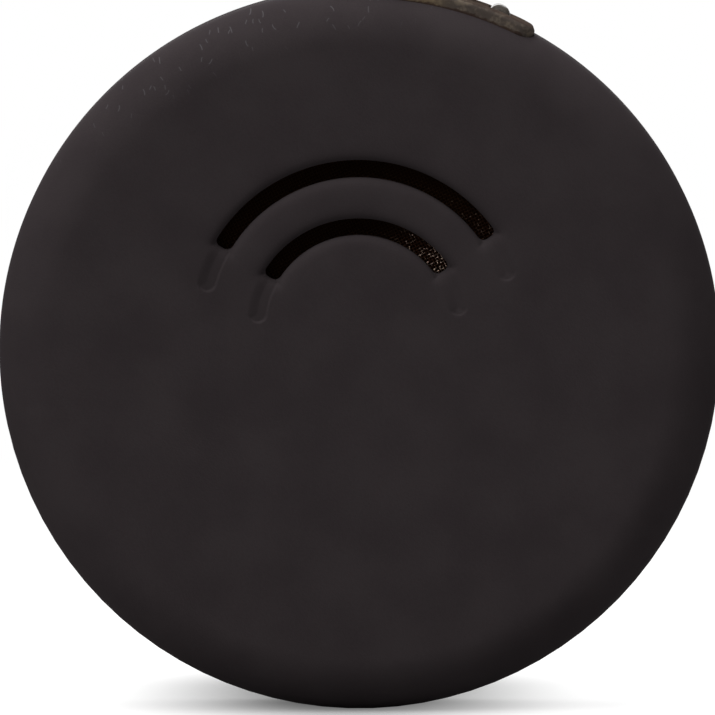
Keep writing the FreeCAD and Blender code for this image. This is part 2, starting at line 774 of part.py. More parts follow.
def key_loop():
    """Metal bracket: a strip bent to the rim, a loop for a key ring, and a tenon into the frame."""
    strip = strip_plate(STRIP_OUT, STRIP_IN, 0)
    top = [edge for edge in strip.Edges if is_at_radius(edge, STRIP_OUT)]
    strip = strip.makeFillet(STRIP_EDGE_R, top)
    loop_near, loop_far = SEAM - LOOP_T / 2, SEAM + LOOP_T / 2
    eye = spot(STRIP_CLOCK_DEG, LOOP_CENTRE_R, 0)
    root_r = STRIP_OUT - STRIP_T / 2
    legs = block(STRIP_CLOCK_DEG, root_r, LOOP_CENTRE_R, 2 * LOOP_R, loop_near, loop_far)
    loop = disc(LOOP_R, loop_near, loop_far, eye).fuse(legs).removeSplitter()
    outline = [edge for edge in loop.Edges if is_in_loop_face(edge, root_r)]
    loop = loop.makeFillet(LOOP_EDGE_R, outline)
    hole = disc(LOOP_HOLE_R, loop_near, loop_far, eye)
    tenon_near, tenon_far = SEAM - TENON_T / 2, SEAM + TENON_T / 2
    tenon = block(TENON_CLOCK_DEG, TENON_TIP, root_r, TENON_W, tenon_near, tenon_far)
    pin_hole = disc(PIN_R + FIT, 0, THICKNESS, spot(TENON_CLOCK_DEG, PIN_RING_R, 0))
    reach = BUTTON_H / 2 + RUNNING
    window = block(
        BUTTON_CLOCK_DEG,
        STRIP_IN - FIT,
        STRIP_OUT + OVERSHOOT,
        BUTTON_W + 2 * RUNNING,
        SEAM - reach,
        SEAM + reach,
    )
    return strip.fuse([loop, tenon]).cut([hole, pin_hole, window])


def is_at_radius(edge, radius):
    """True for an edge that lies on a cylinder about the disc's axis."""
    points = [edge.valueAt(edge.FirstParameter + (edge.LastParameter - edge.FirstParameter) * t)
              for t in (0.0, 0.5, 1.0)]
    return all(abs(math.hypot(p.x - CENTRE.x, p.z - CENTRE.z) - radius) < 1e-4 for p in points)


def is_in_loop_face(edge, root_r):
    """True for an edge of the loop's outline, but not for those sunk in the strip."""
    box = edge.BoundBox
    middle = edge.valueAt((edge.FirstParameter + edge.LastParameter) / 2) - CENTRE
    clear_of_root = middle.dot(outward(STRIP_CLOCK_DEG)) > root_r + FIT
    return box.YLength < 1e-6 and clear_of_root


def loop_pin():
    """Pin that holds the bracket's tenon in the frame."""
    near = BOARD_BACK + PIN_END_GAP + FIT
    return disc(PIN_R, near, FRAME_BACK - PIN_END_GAP, spot(TENON_CLOCK_DEG, PIN_RING_R, 0))


def cell_can():
    """The cell's positive can, crimped over its seal, with a plus sign on its back."""
    front = CELL_FRONT + CELL_CAP_STEP
    body = disc(CELL_R, front, CELL_BACK)
    rims = [edge for edge in body.Edges if edge.Closed and edge.BoundBox.YMin > level(front) + FIT]
    body = body.makeFillet(CELL_CAN_T, rims)
    inside = disc(CELL_R - CELL_CAN_T, front + CELL_CAN_T, CELL_BACK - CELL_CAN_T)
    mouth = disc(CELL_R - CELL_CRIMP_W, front, CELL_BACK - CELL_CAN_T)
    back, sunk = CELL_BACK, CELL_BACK - MARK_DEEP
    upright = block(0, -PLUS_L / 2, PLUS_L / 2, PLUS_W, sunk, back)
    level_bar = block(0, -PLUS_W / 2, PLUS_W / 2, PLUS_L, sunk, back)
    return body.cut([inside, mouth, upright.fuse(level_bar)])


def cell_cap():
    """The cell's negative cap, with the cell's filling as one solid."""
    face = disc(CELL_CAP_R, CELL_FRONT, CELL_FRONT + CELL_CAP_STEP + CELL_CAN_T)
    filling = disc(CELL_FILL_R, CELL_FRONT + CELL_CAP_STEP + CELL_CAN_T, CELL_BACK - CELL_CAN_T)
    return face.fuse(filling)


def cell_seal():
    """Plastic ring that parts the cap from the can."""
    front = CELL_FRONT + CELL_CAP_STEP
    lip = ring(CELL_R - CELL_CRIMP_W, CELL_CAP_R, front, front + CELL_CAN_T)
    sleeve = ring(CELL_R - CELL_CAN_T, CELL_FILL_R, front + CELL_CAN_T, CELL_BACK - CELL_CAN_T)
    return lip.fuse(sleeve)


def negative_contact():
    """Stamped spring under the middle of the cell: a hub, three arms and a thin outer ring."""
    body = disc(LEAF_HUB_R, BOARD_BACK, CELL_FRONT)
    rim_in = LEAF_R - LEAF_RIM_W
    for k in range(LEAF_ARM_COUNT):
        clock = FULL_TURN_DEG / LEAF_ARM_COUNT * k
        arm = block(clock, 0, LEAF_R - LEAF_RIM_W / 2, LEAF_ARM_W, BOARD_BACK, CELL_FRONT)
        body = body.fuse(arm)
    return body.fuse(ring(LEAF_R, rim_in, BOARD_BACK, CELL_FRONT)).removeSplitter()


def positive_contact():
    """Side spring that touches the cell's can, with a foot under the frame."""
    inner = CELL_R + CLIP_GAP
    leaf = sector(
        inner + CLIP_T,
        inner,
        BOARD_BACK,
        CLIP_BACK,
        CLIP_CLOCK_DEG - CLIP_SPAN_DEG,
        CLIP_CLOCK_DEG + CLIP_SPAN_DEG,
    )
    foot = sector(
        inner + CLIP_FOOT_L,
        inner,
        BOARD_BACK,
        BOARD_BACK + LEAF_T,
        CLIP_CLOCK_DEG - CLIP_FOOT_SPAN_DEG,
        CLIP_CLOCK_DEG + CLIP_FOOT_SPAN_DEG,
    )
    return leaf.fuse(foot).removeSplitter()


def battery_cover():
    """Screw-in cover with a coin slot, a seat for its seal ring and three helical lugs."""
    plate = disc(COVER_R, COVER_FRONT, THICKNESS)
    rims = [edge for edge in plate.Edges if edge.Closed and edge.BoundBox.YMin > level(THICKNESS) - FIT]
    plate = plate.makeFillet(COVER_EDGE_R, rims)
    skirt = ring(SKIRT_OUT, FRAME_IN, COLLAR_FRONT + RUNNING, COVER_FRONT + FIT)
    body = plate.fuse(skirt)
    step = ring(COVER_R + OVERSHOOT, O_RING_IN - O_RING_GAP, COVER_FRONT, SHELF + O_RING_T + 2 * O_RING_GAP)
    half = COIN_SLOT_W / 2
    straight = COIN_SLOT_L / 2 - half
    sunk = THICKNESS - COIN_SLOT_DEEP
    slot = block(0, -straight, straight, COIN_SLOT_W, sunk, THICKNESS + OVERSHOOT)
    for clock in (0.0, 180.0):
        slot = slot.fuse(disc(half, sunk, THICKNESS + OVERSHOOT, spot(clock, straight, 0)))
    body = body.cut([step, slot, back_dot(0.0, COVER_R - 3 * DOT_R)])
    for clock in lug_clocks():
        first, last = clock - LUG_HALF_SPAN_DEG, clock + LUG_HALF_SPAN_DEG
        start = LUG_DEPTH - rise(LUG_HALF_SPAN_DEG)
        body = body.fuse(helical_band(SKIRT_OUT - LUG_OUT / 2, LUG_R, LUG_H, start, first, last))
    return body


def cover_o_ring():
    """Seal ring between the cover's edge and the shelf of the back shell."""
    half = O_RING_T / 2
    middle = FreeCAD.Vector(CENTRE.x, level(SHELF + O_RING_GAP + half), CENTRE.z)
    return Part.makeTorus(O_RING_IN + half, half, middle, ACROSS)


def cover_pad():
    """Foam pad on the inside of the cover, which keeps the cell from rattling."""
    return disc(PAD_R, CELL_BACK + PAD_GAP, COVER_FRONT)


def chip_capacitors():
    """The board's small capacitors."""
    return Part.makeCompound(
        [on_board(CAPACITOR_L, CAPACITOR_W, CAPACITOR_H, clock) for clock in CAPACITOR_CLOCKS_DEG]
    )


def chip_resistors():
    """The board's small resistors."""
    return Part.makeCompound(
        [on_board(RESISTOR_L, RESISTOR_W, RESISTOR_H, clock) for clock in RESISTOR_CLOCKS_DEG]
    )


NODES = {
    "front_shell": front_shell,
    "back_shell": back_shell,
    "inner_frame": inner_frame,
    "circuit_board": circuit_board,
    "radio_chip": radio_chip,
    "crystal": crystal,
    "chip_antenna": chip_antenna,
    "power_inductor": power_inductor,
    "chip_capacitors": chip_capacitors,
    "chip_resistors": chip_resistors,
    "board_screws": board_screws,
    "speaker_mesh": speaker_mesh,
    "mesh_gasket": mesh_gasket,
    "piezo_plate": piezo_plate,
    "piezo_ceramic": piezo_ceramic,
    "piezo_ring": piezo_ring,
    "piezo_contacts": piezo_contacts,
    "tact_switch": tact_switch,
    "switch_plunger": switch_plunger,
    "side_button": side_button,
    "button_seal": button_seal,
    "key_loop": key_loop,
    "loop_pin": loop_pin,
    "cell_can": cell_can,
    "cell_cap": cell_cap,
    "cell_seal": cell_seal,
    "negative_contact": negative_contact,
    "positive_contact": positive_contact,
    "battery_cover": battery_cover,
    "cover_o_ring": cover_o_ring,
    "cover_pad": cover_pad,
}

os.makedirs("parts", exist_ok=True)
for name, make in NODES.items():
    shape = make()
    shape.exportStep(f"parts/{name}.step")
    solids = len(shape.Solids)
    print(f"{name}: {solids} solid(s), {shape.Volume:.3f} mm3, valid {shape.isValid()}")
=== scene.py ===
import math

import bmesh
import bpy
import numpy as np
from mathutils import Matrix, Vector


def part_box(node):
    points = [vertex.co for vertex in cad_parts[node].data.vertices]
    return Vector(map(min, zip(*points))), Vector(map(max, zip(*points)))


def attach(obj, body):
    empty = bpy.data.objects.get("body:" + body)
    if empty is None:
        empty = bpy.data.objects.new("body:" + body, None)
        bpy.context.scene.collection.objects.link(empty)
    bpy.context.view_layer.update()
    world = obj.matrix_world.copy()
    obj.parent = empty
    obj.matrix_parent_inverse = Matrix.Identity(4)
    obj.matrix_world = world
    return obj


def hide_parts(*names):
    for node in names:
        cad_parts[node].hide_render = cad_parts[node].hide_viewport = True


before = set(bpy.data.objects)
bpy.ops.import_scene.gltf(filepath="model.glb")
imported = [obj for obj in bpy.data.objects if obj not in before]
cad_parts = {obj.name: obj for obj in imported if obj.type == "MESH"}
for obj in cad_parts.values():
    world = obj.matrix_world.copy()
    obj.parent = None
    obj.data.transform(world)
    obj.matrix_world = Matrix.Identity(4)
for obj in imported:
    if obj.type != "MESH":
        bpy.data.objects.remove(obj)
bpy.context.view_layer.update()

# Camera: a long lens at the level of the disc, looking down on it a little, as for a product picture.
# The finder stands rolled by two degrees on its rim, so the camera leans by as much the other way.
# Lengths in this file are in millimetres, and a mesh is turned to metres as it is made.


def new_object(name, data):
    """A new object in the scene that holds a mesh, a lamp or a camera."""
    made = bpy.data.objects.new(name, data)
    bpy.context.scene.collection.objects.link(made)
    return made


MM = 0.001
front_low, front_high = (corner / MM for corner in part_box("front_shell"))
back_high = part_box("back_shell")[1] / MM
case_r = (front_high.x - front_low.x) / 2
hub_z = front_low.z + case_r
front_y = front_low.y
thickness = back_high.y - front_y
seam = front_high.y - front_y
frame_px = 715
disc_px = 359.4
disc_at_px = (359.5, 347.7)
lens_distance = 500.0
look_down = math.radians(4.0)
lean = math.radians(2.1)
upright = Vector((math.sin(lean), 0, math.cos(lean)))
sideways = Vector((math.cos(lean), 0, -math.sin(lean)))
towards_lens = Vector((0, -math.cos(look_down), 0)) + upright * math.sin(look_down)
picture_up = upright * math.cos(look_down) + Vector((0, math.sin(look_down), 0))
px = case_r / disc_px
hub = Vector((0, 0, hub_z))
aim = hub - sideways * (disc_at_px[0] - frame_px / 2) * px - picture_up * (frame_px / 2 - disc_at_px[1]) * px
camera = new_object("camera", bpy.data.cameras.new("camera"))
camera.data.sensor_width = 36.0
camera.data.lens = camera.data.sensor_width * lens_distance / (frame_px * px)
turn = Matrix((sideways, picture_up, towards_lens)).transposed().to_4x4()
camera.matrix_world = Matrix.Translation((aim + towards_lens * lens_distance) * MM) @ turn
bpy.context.scene.camera = camera
bpy.context.scene.view_settings.view_transform = "Standard"

# Studio: three large soft boxes overhead, from the front to the back, one at the upper left and a faint
# one behind. The world is a plain grey to light by, and white where a lens or a shiny metal sees it.


def add(tree, kind, sockets=None, **settings):
    """Puts a node in a tree, with its settings and with values or links for its inputs."""
    made = tree.nodes.new(kind)
    for name, value in settings.items():
        setattr(made, name, value)
    for name, value in (sockets or {}).items():
        socket = made.inputs[name]
        if isinstance(value, bpy.types.NodeSocket):
            tree.links.new(value, socket)
        else:
            socket.default_value = value
    return made


def calc(tree, operation, *values):
    """One step of arithmetic on values or links."""
    return add(tree, "ShaderNodeMath", dict(enumerate(values)), operation=operation).outputs[0]


def times(tree, first, second):
    """The product of two values or links."""
    return calc(tree, "MULTIPLY", first, second)


def seen_ray(tree):
    """One for rays that show the background: to the camera, in a reflection or through glass."""
    path = add(tree, "ShaderNodeLightPath").outputs
    first = calc(tree, "MAXIMUM", path["Is Camera Ray"], path["Is Glossy Ray"])
    return calc(tree, "MAXIMUM", first, path["Is Transmission Ray"])


world = bpy.data.worlds.new("studio")
world.use_nodes = True
world.node_tree.nodes.clear()
grey = add(world.node_tree, "ShaderNodeBackground", {"Color": (0.17, 0.17, 0.17, 1)})
white = add(world.node_tree, "ShaderNodeBackground", {"Color": (1, 1, 1, 1)})
shown = add(
    world.node_tree, "ShaderNodeMixShader",
    {0: seen_ray(world.node_tree), 1: grey.outputs[0], 2: white.outputs[0]},
)
add(world.node_tree, "ShaderNodeOutputWorld", {"Surface": shown.outputs[0]})
bpy.context.scene.world = world


def soft_box(name, direction, distance, size, level):
    """A square soft box that faces the middle of the disc, with the level at which it lights it."""
    lamp = bpy.data.lights.new(name, "AREA")
    lamp.size = size * MM
    lamp.energy = level * (math.pi * distance * MM) ** 2
    box = new_object(name, lamp)
    away = Vector(direction).normalized()
    faced = away.to_track_quat("Z", "Y").to_matrix().to_4x4()
    box.matrix_world = Matrix.Translation((hub + away * distance) * MM) @ faced


box_far = 600.0
overhead_size = 600.0
soft_box("overhead_front_box", (-0.05, -0.5, 1.0), box_far, overhead_size, level=1.0)
soft_box("overhead_box", (-0.05, 0, 1.0), box_far, overhead_size, level=0.95)
soft_box("overhead_back_box", (-0.05, 0.6, 1.0), box_far, overhead_size, level=1.1)
soft_box("upper_left_box", (-0.7, -0.48, 0.53), box_far, size=250.0, level=0.5)
soft_box("back_box", (0, 1.0, 0.3), distance=700.0, size=500.0, level=0.3)

# Floor: a small round of white card that fades into the white behind it, so no horizon shows.
# It is clear from below, and returns little light to the underside of the disc. An oval behind the foot
# glows less than the rest of the card: a painted soft shadow of the disc, laid over its real shadow.


def blend_colours(tree, factor, first, second):
    """Mixes two colours, or links, by a factor."""
    return add(tree, "ShaderNodeMixRGB", {"Fac": factor, "Color1": first, "Color2": second}).outputs[0]


def ramp(tree, value, low, high, to_low=0.0, to_high=1.0):
    """Maps a value smoothly from one range to another."""
    sockets = {"Value": value, "From Min": low, "From Max": high, "To Min": to_low, "To Max": to_high}
    return add(tree, "ShaderNodeMapRange", sockets, interpolation_type="SMOOTHSTEP").outputs[0]


def object_place(tree):
    """Where a point of a surface lies in the model."""
    return add(tree, "ShaderNodeTexCoord").outputs["Object"]


def split(tree, vector):
    """The three coordinates of a vector."""
    return add(tree, "ShaderNodeSeparateXYZ", {0: vector}).outputs


def distance(tree, first, second):
    """How far two points are apart."""
    return add(tree, "ShaderNodeVectorMath", {0: first, 1: second}, operation="DISTANCE").outputs["Value"]


def hypotenuse(tree, first, second):
    """The long side of a triangle whose other two sides stand square to each other."""
    return calc(tree, "SQRT", calc(tree, "MULTIPLY_ADD", first, first, calc(tree, "POWER", second, 2.0)))


floor_r = 150.0
floor_sides = 96
fade_from = 40.0
fade_to = 135.0
foot = hub - upright * case_r
# Where the painted shadow on the card lies, and how far it reaches
shade_middle = foot + Vector((-0.6, 7.9, 0))
shade_in = 1.3
shade_out = 11.3
shade_squeeze_behind = 0.9
shade_squeeze_before = 0.47
card_glow = 0.83
rim_points = [
    foot + sideways * floor_r * math.cos(a) + Vector((0, floor_r * math.sin(a), 0))
    for a in np.linspace(0, 2 * math.pi, floor_sides, endpoint=False)
]
floor_mesh = bpy.data.meshes.new("floor")
floor_mesh.from_pydata([p * MM for p in rim_points], [], [list(range(len(rim_points)))])
floor = new_object("floor", floor_mesh)
card = bpy.data.materials.new("white_card")
card.use_nodes = True
tree = card.node_tree
tree.nodes.clear()
place = object_place(tree)
from_foot = distance(tree, place, foot * MM)
to_lens = seen_ray(tree)
tone = blend_colours(tree, to_lens, (0.32, 0.32, 0.32, 1), (0.16, 0.16, 0.16, 1))
matte = add(tree, "ShaderNodeBsdfDiffuse", {"Color": tone}).outputs[0]
parts = split(tree, place)
beside_shade = calc(tree, "SUBTRACT", parts[0], shade_middle.x * MM)
behind_shade = calc(tree, "SUBTRACT", parts[1], shade_middle.y * MM)
behind_shade = calc(
    tree, "MAXIMUM", times(tree, behind_shade, shade_squeeze_behind),
    times(tree, behind_shade, -shade_squeeze_before),
)
from_shade = hypotenuse(tree, beside_shade, behind_shade)
# Painted shadow: the card's glow falls away inside this oval.
glow = ramp(tree, from_shade, shade_in * MM, shade_out * MM, 0.0, card_glow)
lift = add(tree, "ShaderNodeEmission", {"Color": (1, 1, 1, 1), "Strength": glow}).outputs[0]
lit = add(tree, "ShaderNodeAddShader", {0: matte, 1: lift}).outputs[0]
near = add(tree, "ShaderNodeMixShader", {0: to_lens, 1: matte, 2: lit}).outputs[0]
blank = add(tree, "ShaderNodeEmission", {"Color": (1, 1, 1, 1), "Strength": 1.0}).outputs[0]
far = times(tree, ramp(tree, from_foot, fade_from * MM, fade_to * MM), to_lens)
faded = add(tree, "ShaderNodeMixShader", {0: far, 1: near, 2: blank}).outputs[0]
clear = add(tree, "ShaderNodeBsdfTransparent").outputs[0]
below = times(tree, add(tree, "ShaderNodeNewGeometry").outputs["Backfacing"], to_lens)
carded = add(tree, "ShaderNodeMixShader", {0: below, 1: faded, 2: clear}).outputs[0]
add(tree, "ShaderNodeOutputMaterial", {"Surface": carded})
floor_mesh.materials.append(card)

# Front shell: a round half casing of black plastic with a soft-touch coating, moulded in one piece.
# Two curved channels are sunk in its face, with the speaker slots through their floors, and inside
# it has a rib round the sounder and three screw bosses. The two halves snap together at the seam.
wall = 0.9
edge_round = 2.25
flat_r = case_r - edge_round
slot_rise = 1.1
inner_drop = 0.1
slot_span = 58.0
slot_corner_r = 0.28
outer_slot = {"radius": 6.54, "half": 0.3675, "span": math.radians(71.5), "drop": 0.0, "after": [7.7, 8.0]}
inner_slot = {"radius": 4.23, "half": 0.3525, "span": math.radians(79.3), "drop": inner_drop, "after": [5.35]}
lip_deep = 0.13
lip_reach = 0.24
lip_edge_deep = 0.16
lip_edge_reach = 0.11
ramp_deep = 0.12
ramp_edge = 0.05
ramp_soft_in = 0.42
ramp_soft_out = 0.12
side_blend = 0.12
tip_edge = 0.5
ramp_from = math.radians(50.0)
ramp_to = math.radians(60.0)
seam_bevel = 0.08
wall_in = case_r - wall
tongue_in = wall_in - 0.15
tongue_out = tongue_in + 0.35
tongue_room_end = 2.65
bead_h = 0.1
bead_room_near = 2.8
bead_room_far = 3.1
running = 0.05
rim_middle = 2.8
rib_in = 8.6
rib_t = 0.5
rib_h = 0.7
rib_out = rib_in + rib_t
rib_top = wall + rib_h
rib_margin = 0.7
board_front = 1.75
boss_r = 1.3
pilot_r = 0.5
pilot_tip = 0.55
screw_clocks = (80.0, 200.0, 320.0)
screw_ring_r = 12.075
overshoot = 1.0
slack = 0.01


def ease(value, low, high):
    """A smooth step from nought to one between two values."""
    t = np.clip((value - low) / (high - low), 0, 1)
    return t * t * (3 - 2 * t)


def channel_depth(across, above):
    """How deep the soft lips of the slots and the shallow ends past them are at points of the face."""
    deep = np.zeros_like(across)
    for slot in (outer_slot, inner_slot):
        rise = above + slot["drop"]
        clock = np.arctan2(across, rise)
        held = np.clip(clock, -slot["span"], slot["span"])
        gap = np.hypot(across - slot["radius"] * np.sin(held), rise - slot["radius"] * np.cos(held))
        beyond = gap - slot["half"]
        reach = np.hypot(across, rise)
        beside_slot = np.maximum(np.abs(reach - slot["radius"]) - slot["half"], 0)
        past_end = slot["radius"] * np.maximum(np.abs(clock) - math.radians(slot_span), 0)
        away = np.hypot(beside_slot, past_end)
        lip = lip_deep * np.exp(-away / lip_reach) + lip_edge_deep * np.exp(-away / lip_edge_reach)
        outer_side = ease(reach - slot["radius"], -side_blend, side_blend)
        ahead = reach * np.sin(np.abs(clock) - np.abs(held)) / np.maximum(gap, 0.001)
        soft = np.where(across > 0, 1.0, outer_side) * (1 - tip_edge * ease(ahead, 0, 1))
        crisp_floor = 1 - ease(beyond, -ramp_edge, ramp_edge)
        soft_floor = 1 - ease(beyond, -ramp_soft_in, ramp_soft_out)
        run_out = ramp_deep * (crisp_floor + (soft_floor - crisp_floor) * soft)
        deep += lip + run_out * ease(np.abs(clock), ramp_from, ramp_to)
    return deep


def clock_ring(radius, depth, clocks, rise=0.0):
    """One ring of points, clockwise from the top, about the disc's axis or a centre above it."""
    points = np.empty((len(clocks), 3))
    points[:, 0] = radius * np.sin(clocks)
    points[:, 1] = front_y + depth
    points[:, 2] = hub_z + rise + radius * np.cos(clocks)
    return points


def round_arc(radius, depth, size, first, last, steps):
    """Radius and depth along an arc in the section of a round piece, with angles from the front."""
    return [
        (radius + size * math.sin(a), depth - size * math.cos(a))
        for a in np.radians(np.linspace(first, last, steps))
    ]


def skin(rows, ends="open"):
    """Points and faces of a skin over rows of points, joined to a tube, capped or left open."""
    count = len(rows[0])
    points = np.concatenate(rows)
    last = len(rows) if ends == "joined" else len(rows) - 1
    faces = []
    for r in range(last):
        a, b = r * count, (r + 1) % len(rows) * count
        faces += [(a + k, a + (k + 1) % count, b + (k + 1) % count, b + k) for k in range(count)]
    if ends == "capped":
        faces.append(tuple(range(count)))
        faces.append(tuple(range(len(points) - count, len(points))))
    return points, faces


def shape(name, points, faces):
    """A mesh object from points in millimetres, with its faces turned outwards."""
    mesh = bpy.data.meshes.new(name)
    mesh.from_pydata(np.asarray(points) * MM, [], faces)
    work = bmesh.new()
    work.from_mesh(mesh)
    bmesh.ops.recalc_face_normals(work, faces=work.faces)
    work.to_mesh(mesh)
    work.free()
    return new_object(name, mesh)


def apply_modifiers(piece):
    """Makes what a piece's modifiers give its own mesh."""
    seen = piece.evaluated_get(bpy.context.evaluated_depsgraph_get())
    mesh = bpy.data.meshes.new_from_object(seen)
    piece.modifiers.clear()
    piece.data = mesh


def carve(piece, tools, operation="DIFFERENCE"):
    """Cuts shapes out of a piece, or joins them to it, and removes the shapes."""
    box = bpy.data.collections.new("tools")
    bpy.context.scene.collection.children.link(box)
    for tool in tools:
        bpy.context.scene.collection.objects.unlink(tool)
        box.objects.link(tool)
    cut = piece.modifiers.new("cut", "BOOLEAN")
    cut.operand_type = "COLLECTION"
    cut.collection = box
    cut.operation = operation
    cut.solver = "EXACT"
    apply_modifiers(piece)
    for tool in tools:
        bpy.data.objects.remove(tool)
    bpy.data.collections.remove(box)


def smooth(piece, sharp=32.0):
    """Shades a piece smooth, but for edges sharper than an angle."""
    mesh = piece.data
    mesh.polygons.foreach_set("use_smooth", [True] * len(mesh.polygons))
    mesh.set_sharp_from_angle(angle=math.radians(sharp))


def outwards(clock):
    """The way out from the disc's axis at a clock angle in degrees."""
    return np.array([math.sin(math.radians(clock)), 0, math.cos(math.radians(clock))])


def block(name, clock, inner, outer, width, near, far):
    """A box whose long axis lies along the radius at a clock angle, between two depths."""
    out = outwards(clock)
    along = np.array([out[2], 0, -out[0]])
    rows = []
    for radius in (inner, outer):
        middle = np.array([0, front_y, hub_z]) + out * radius
        rows.append(
            np.array([
                middle + along * side * width / 2 + np.array([0, depth, 0])
                for side, depth in ((-1, near), (1, near), (1, far), (-1, far))
            ])
        )
    return shape(name, *skin(rows, "capped"))


def plug(name, radius, near, far, clock, ring_r, sides=48):
    """A round plug from one depth to another, at a clock angle and distance from the axis."""
    turns = np.linspace(0, 2 * math.pi, sides, endpoint=False)
    shift = outwards(clock) * ring_r
    rows = [clock_ring(radius, depth, turns) + shift for depth in (near, far)]
    return shape(name, *skin(rows, "capped"))


def arc_bar(name, inner, outer, near, far, first, last, lead=0.0, steps=40):
    """A bar of square section bent round the disc's axis, which may climb towards the back as it goes."""
    rows = []
    for clock in np.linspace(first, last, steps):
        climb = lead * (clock - first) / 360
        rows.append(
            np.concatenate([
                clock_ring(radius, depth + climb, np.radians([clock]))
                for radius, depth in ((inner, near), (outer, near), (outer, far), (inner, far))
            ])
        )
    return shape(name, *skin(rows, "capped"))


strip_clock = 13.8
strip_half_span = 17.1
strip_half_w = 2.25
strip_corner_r = 0.7
strip_out = 15.25
seat_r = 14.62
fit = 0.03
tenon_clock = 10.5
tenon_way_w = 1.86
tenon_way_half = 0.68
button_clock = 24.8
button_way_w = 1.34
button_way_half = 1.22
flange_room_half = 1.55
flange_room_span = 4.5
ways_in = 12.9


def bracket_tools():
    """What both halves of the casing lose to the bracket, its tenon and the button."""
    half_run = math.radians(strip_half_span) * seat_r + fit
    half_w = strip_half_w + fit
    past_strip = strip_out + overshoot
    rows = []
    bend = half_run - strip_corner_r
    runs = [half_run - strip_corner_r * (1 - math.sin(a)) for a in np.linspace(math.pi / 2, 0, 12)]
    for run in [-r for r in runs] + list(np.linspace(-bend, bend, 40)[1:-1]) + runs[::-1]:
        over = max(abs(run) - bend, 0) / strip_corner_r
        reach = half_w - strip_corner_r * (1 - math.sqrt(max(1 - over**2, 0)))
        a = np.array([math.radians(strip_clock) + run / seat_r])
        rows.append(
            np.concatenate([
                clock_ring(radius, seam + side * reach, a)
                for radius, side in ((seat_r, -1), (past_strip, -1), (past_strip, 1), (seat_r, 1))
            ])
        )
    return [
        shape("seat", *skin(rows, "capped")),
        block(
            "tenon_way", tenon_clock, ways_in, strip_out, tenon_way_w, seam - tenon_way_half,
            seam + tenon_way_half,
        ),
        block(
            "button_way", button_clock, ways_in, strip_out, button_way_w, seam - button_way_half,
            seam + button_way_half,
        ),
        arc_bar(
            "flange_room", ways_in, wall_in, seam - flange_room_half, seam + flange_room_half,
            button_clock - flange_room_span, button_clock + flange_room_span,
        ),
    ]


def corner_steps(run):
    """How far a rounded corner lies from the sharp one, along its edge and square to it, at a run from it."""
    bend = (1 - run / slot_corner_r) * math.pi / 4
    return slot_corner_r * (1 - math.sin(bend)), slot_corner_r * (1 - math.cos(bend))


def corner_point(slot, side, end, along, inwards):
    """A point of a slot's rounded corner, at its outer or inner side and its left or right end."""
    edge_r = slot["radius"] + side * slot["half"]
    clock = end * (math.radians(slot_span) - along / edge_r)
    return clock_ring(edge_r - side * inwards, 0, np.array([clock]), slot_rise - slot["drop"])[0]


# Columns of the face by clock angle, closest round the ends of the slots and channels
half_steps = [*np.arange(0, 56, 1.0), *np.arange(56, 60, 0.25), *np.arange(60, 70, 0.5)]
half_steps += [*np.arange(70, 90, 0.25), *np.arange(90, 100, 0.5), *np.arange(100, 180, 4.0)]
clock_steps = [-180.0] + [-step for step in half_steps[:0:-1]] + half_steps
first_column = clock_steps.index(-slot_span)
last_column = clock_steps.index(slot_span)
face_clocks = np.radians(clock_steps)

# Rows of the face by radius, closest beside the slots
beside = [0.6, 0.45, 0.34, 0.26, 0.2, 0.15, 0.11, 0.08, 0.055, 0.03, 0.0]
slot_steps = 16
face_radii = [0.9, 1.8, 2.7]
face_rises = [slot_rise - inner_drop] * len(face_radii)
for slot in (inner_slot, outer_slot):
    outside = [slot["half"] + reach for reach in beside]
    within = np.linspace(-slot["half"], slot["half"], slot_steps + 1)[1:-1]
    across_slot = [*(-np.array(outside)), *within, *outside[::-1]]
    first_row = len(face_radii) + len(beside) - 1
    slot["rows"] = (first_row, first_row + slot_steps)
    face_radii += [slot["radius"] + offset for offset in across_slot] + slot["after"]
    face_rises += [slot_rise - slot["drop"]] * len(across_slot) + [slot_rise] * len(slot["after"])
face_edge_r = face_radii[-1]
rows = [clock_ring(radius, 0, face_clocks, rise) for radius, rise in zip(face_radii, face_rises)]
for t in (0.2, 0.4, 0.6, 0.8, 1.0):
    rows.append(clock_ring(face_edge_r + (flat_r - face_edge_r) * t, 0, face_clocks, slot_rise * (1 - t)))
for slot in (inner_slot, outer_slot):
    first_row, last_row = slot["rows"]
    for row, side in ((first_row, -1), (last_row, 1)):
        edge_r = slot["radius"] + side * slot["half"]
        for end, column in ((-1, first_column), (1, last_column)):
            for k, clock in enumerate(clock_steps):
                run = edge_r * math.radians(slot_span - end * clock)
                if 0 <= run < slot_corner_r:
                    rows[row][k] = corner_point(slot, side, end, *corner_steps(run))
            for r in range(first_row + 1, last_row):
                run = side * (edge_r - face_radii[r])
                if 0 <= run < slot_corner_r:
                    rows[r][column] = corner_point(slot, side, end, *corner_steps(run)[::-1])
for ring in rows:
    ring[:, 1] += channel_depth(ring[:, 0], ring[:, 2] - hub_z - slot_rise)
section = round_arc(flat_r, edge_round, edge_round, 0, 90, 16)[1:]
section += [(case_r, rim_middle), (case_r, seam - seam_bevel), (case_r - seam_bevel, seam)]
room = tongue_out + running
section += [(room, seam), (room, bead_room_far), (room + bead_h, bead_room_far)]
section += [(room + bead_h, bead_room_near), (room, bead_room_near), (room, tongue_room_end)]
section += [(wall_in, tongue_room_end)] + round_arc(flat_r, edge_round, edge_round - wall, 90, 0, 9)
rows += [clock_ring(radius, depth, face_clocks) for radius, depth in section]
for t in (0.5, 1.0):
    rows.append(clock_ring(flat_r + (rib_in + rib_margin - flat_r) * t, wall, face_clocks, slot_rise * t))
for radius, depth in ((rib_out, wall), (rib_out, rib_top), (rib_in, rib_top), (rib_in, wall)):
    rows.append(clock_ring(radius, depth, face_clocks, slot_rise))

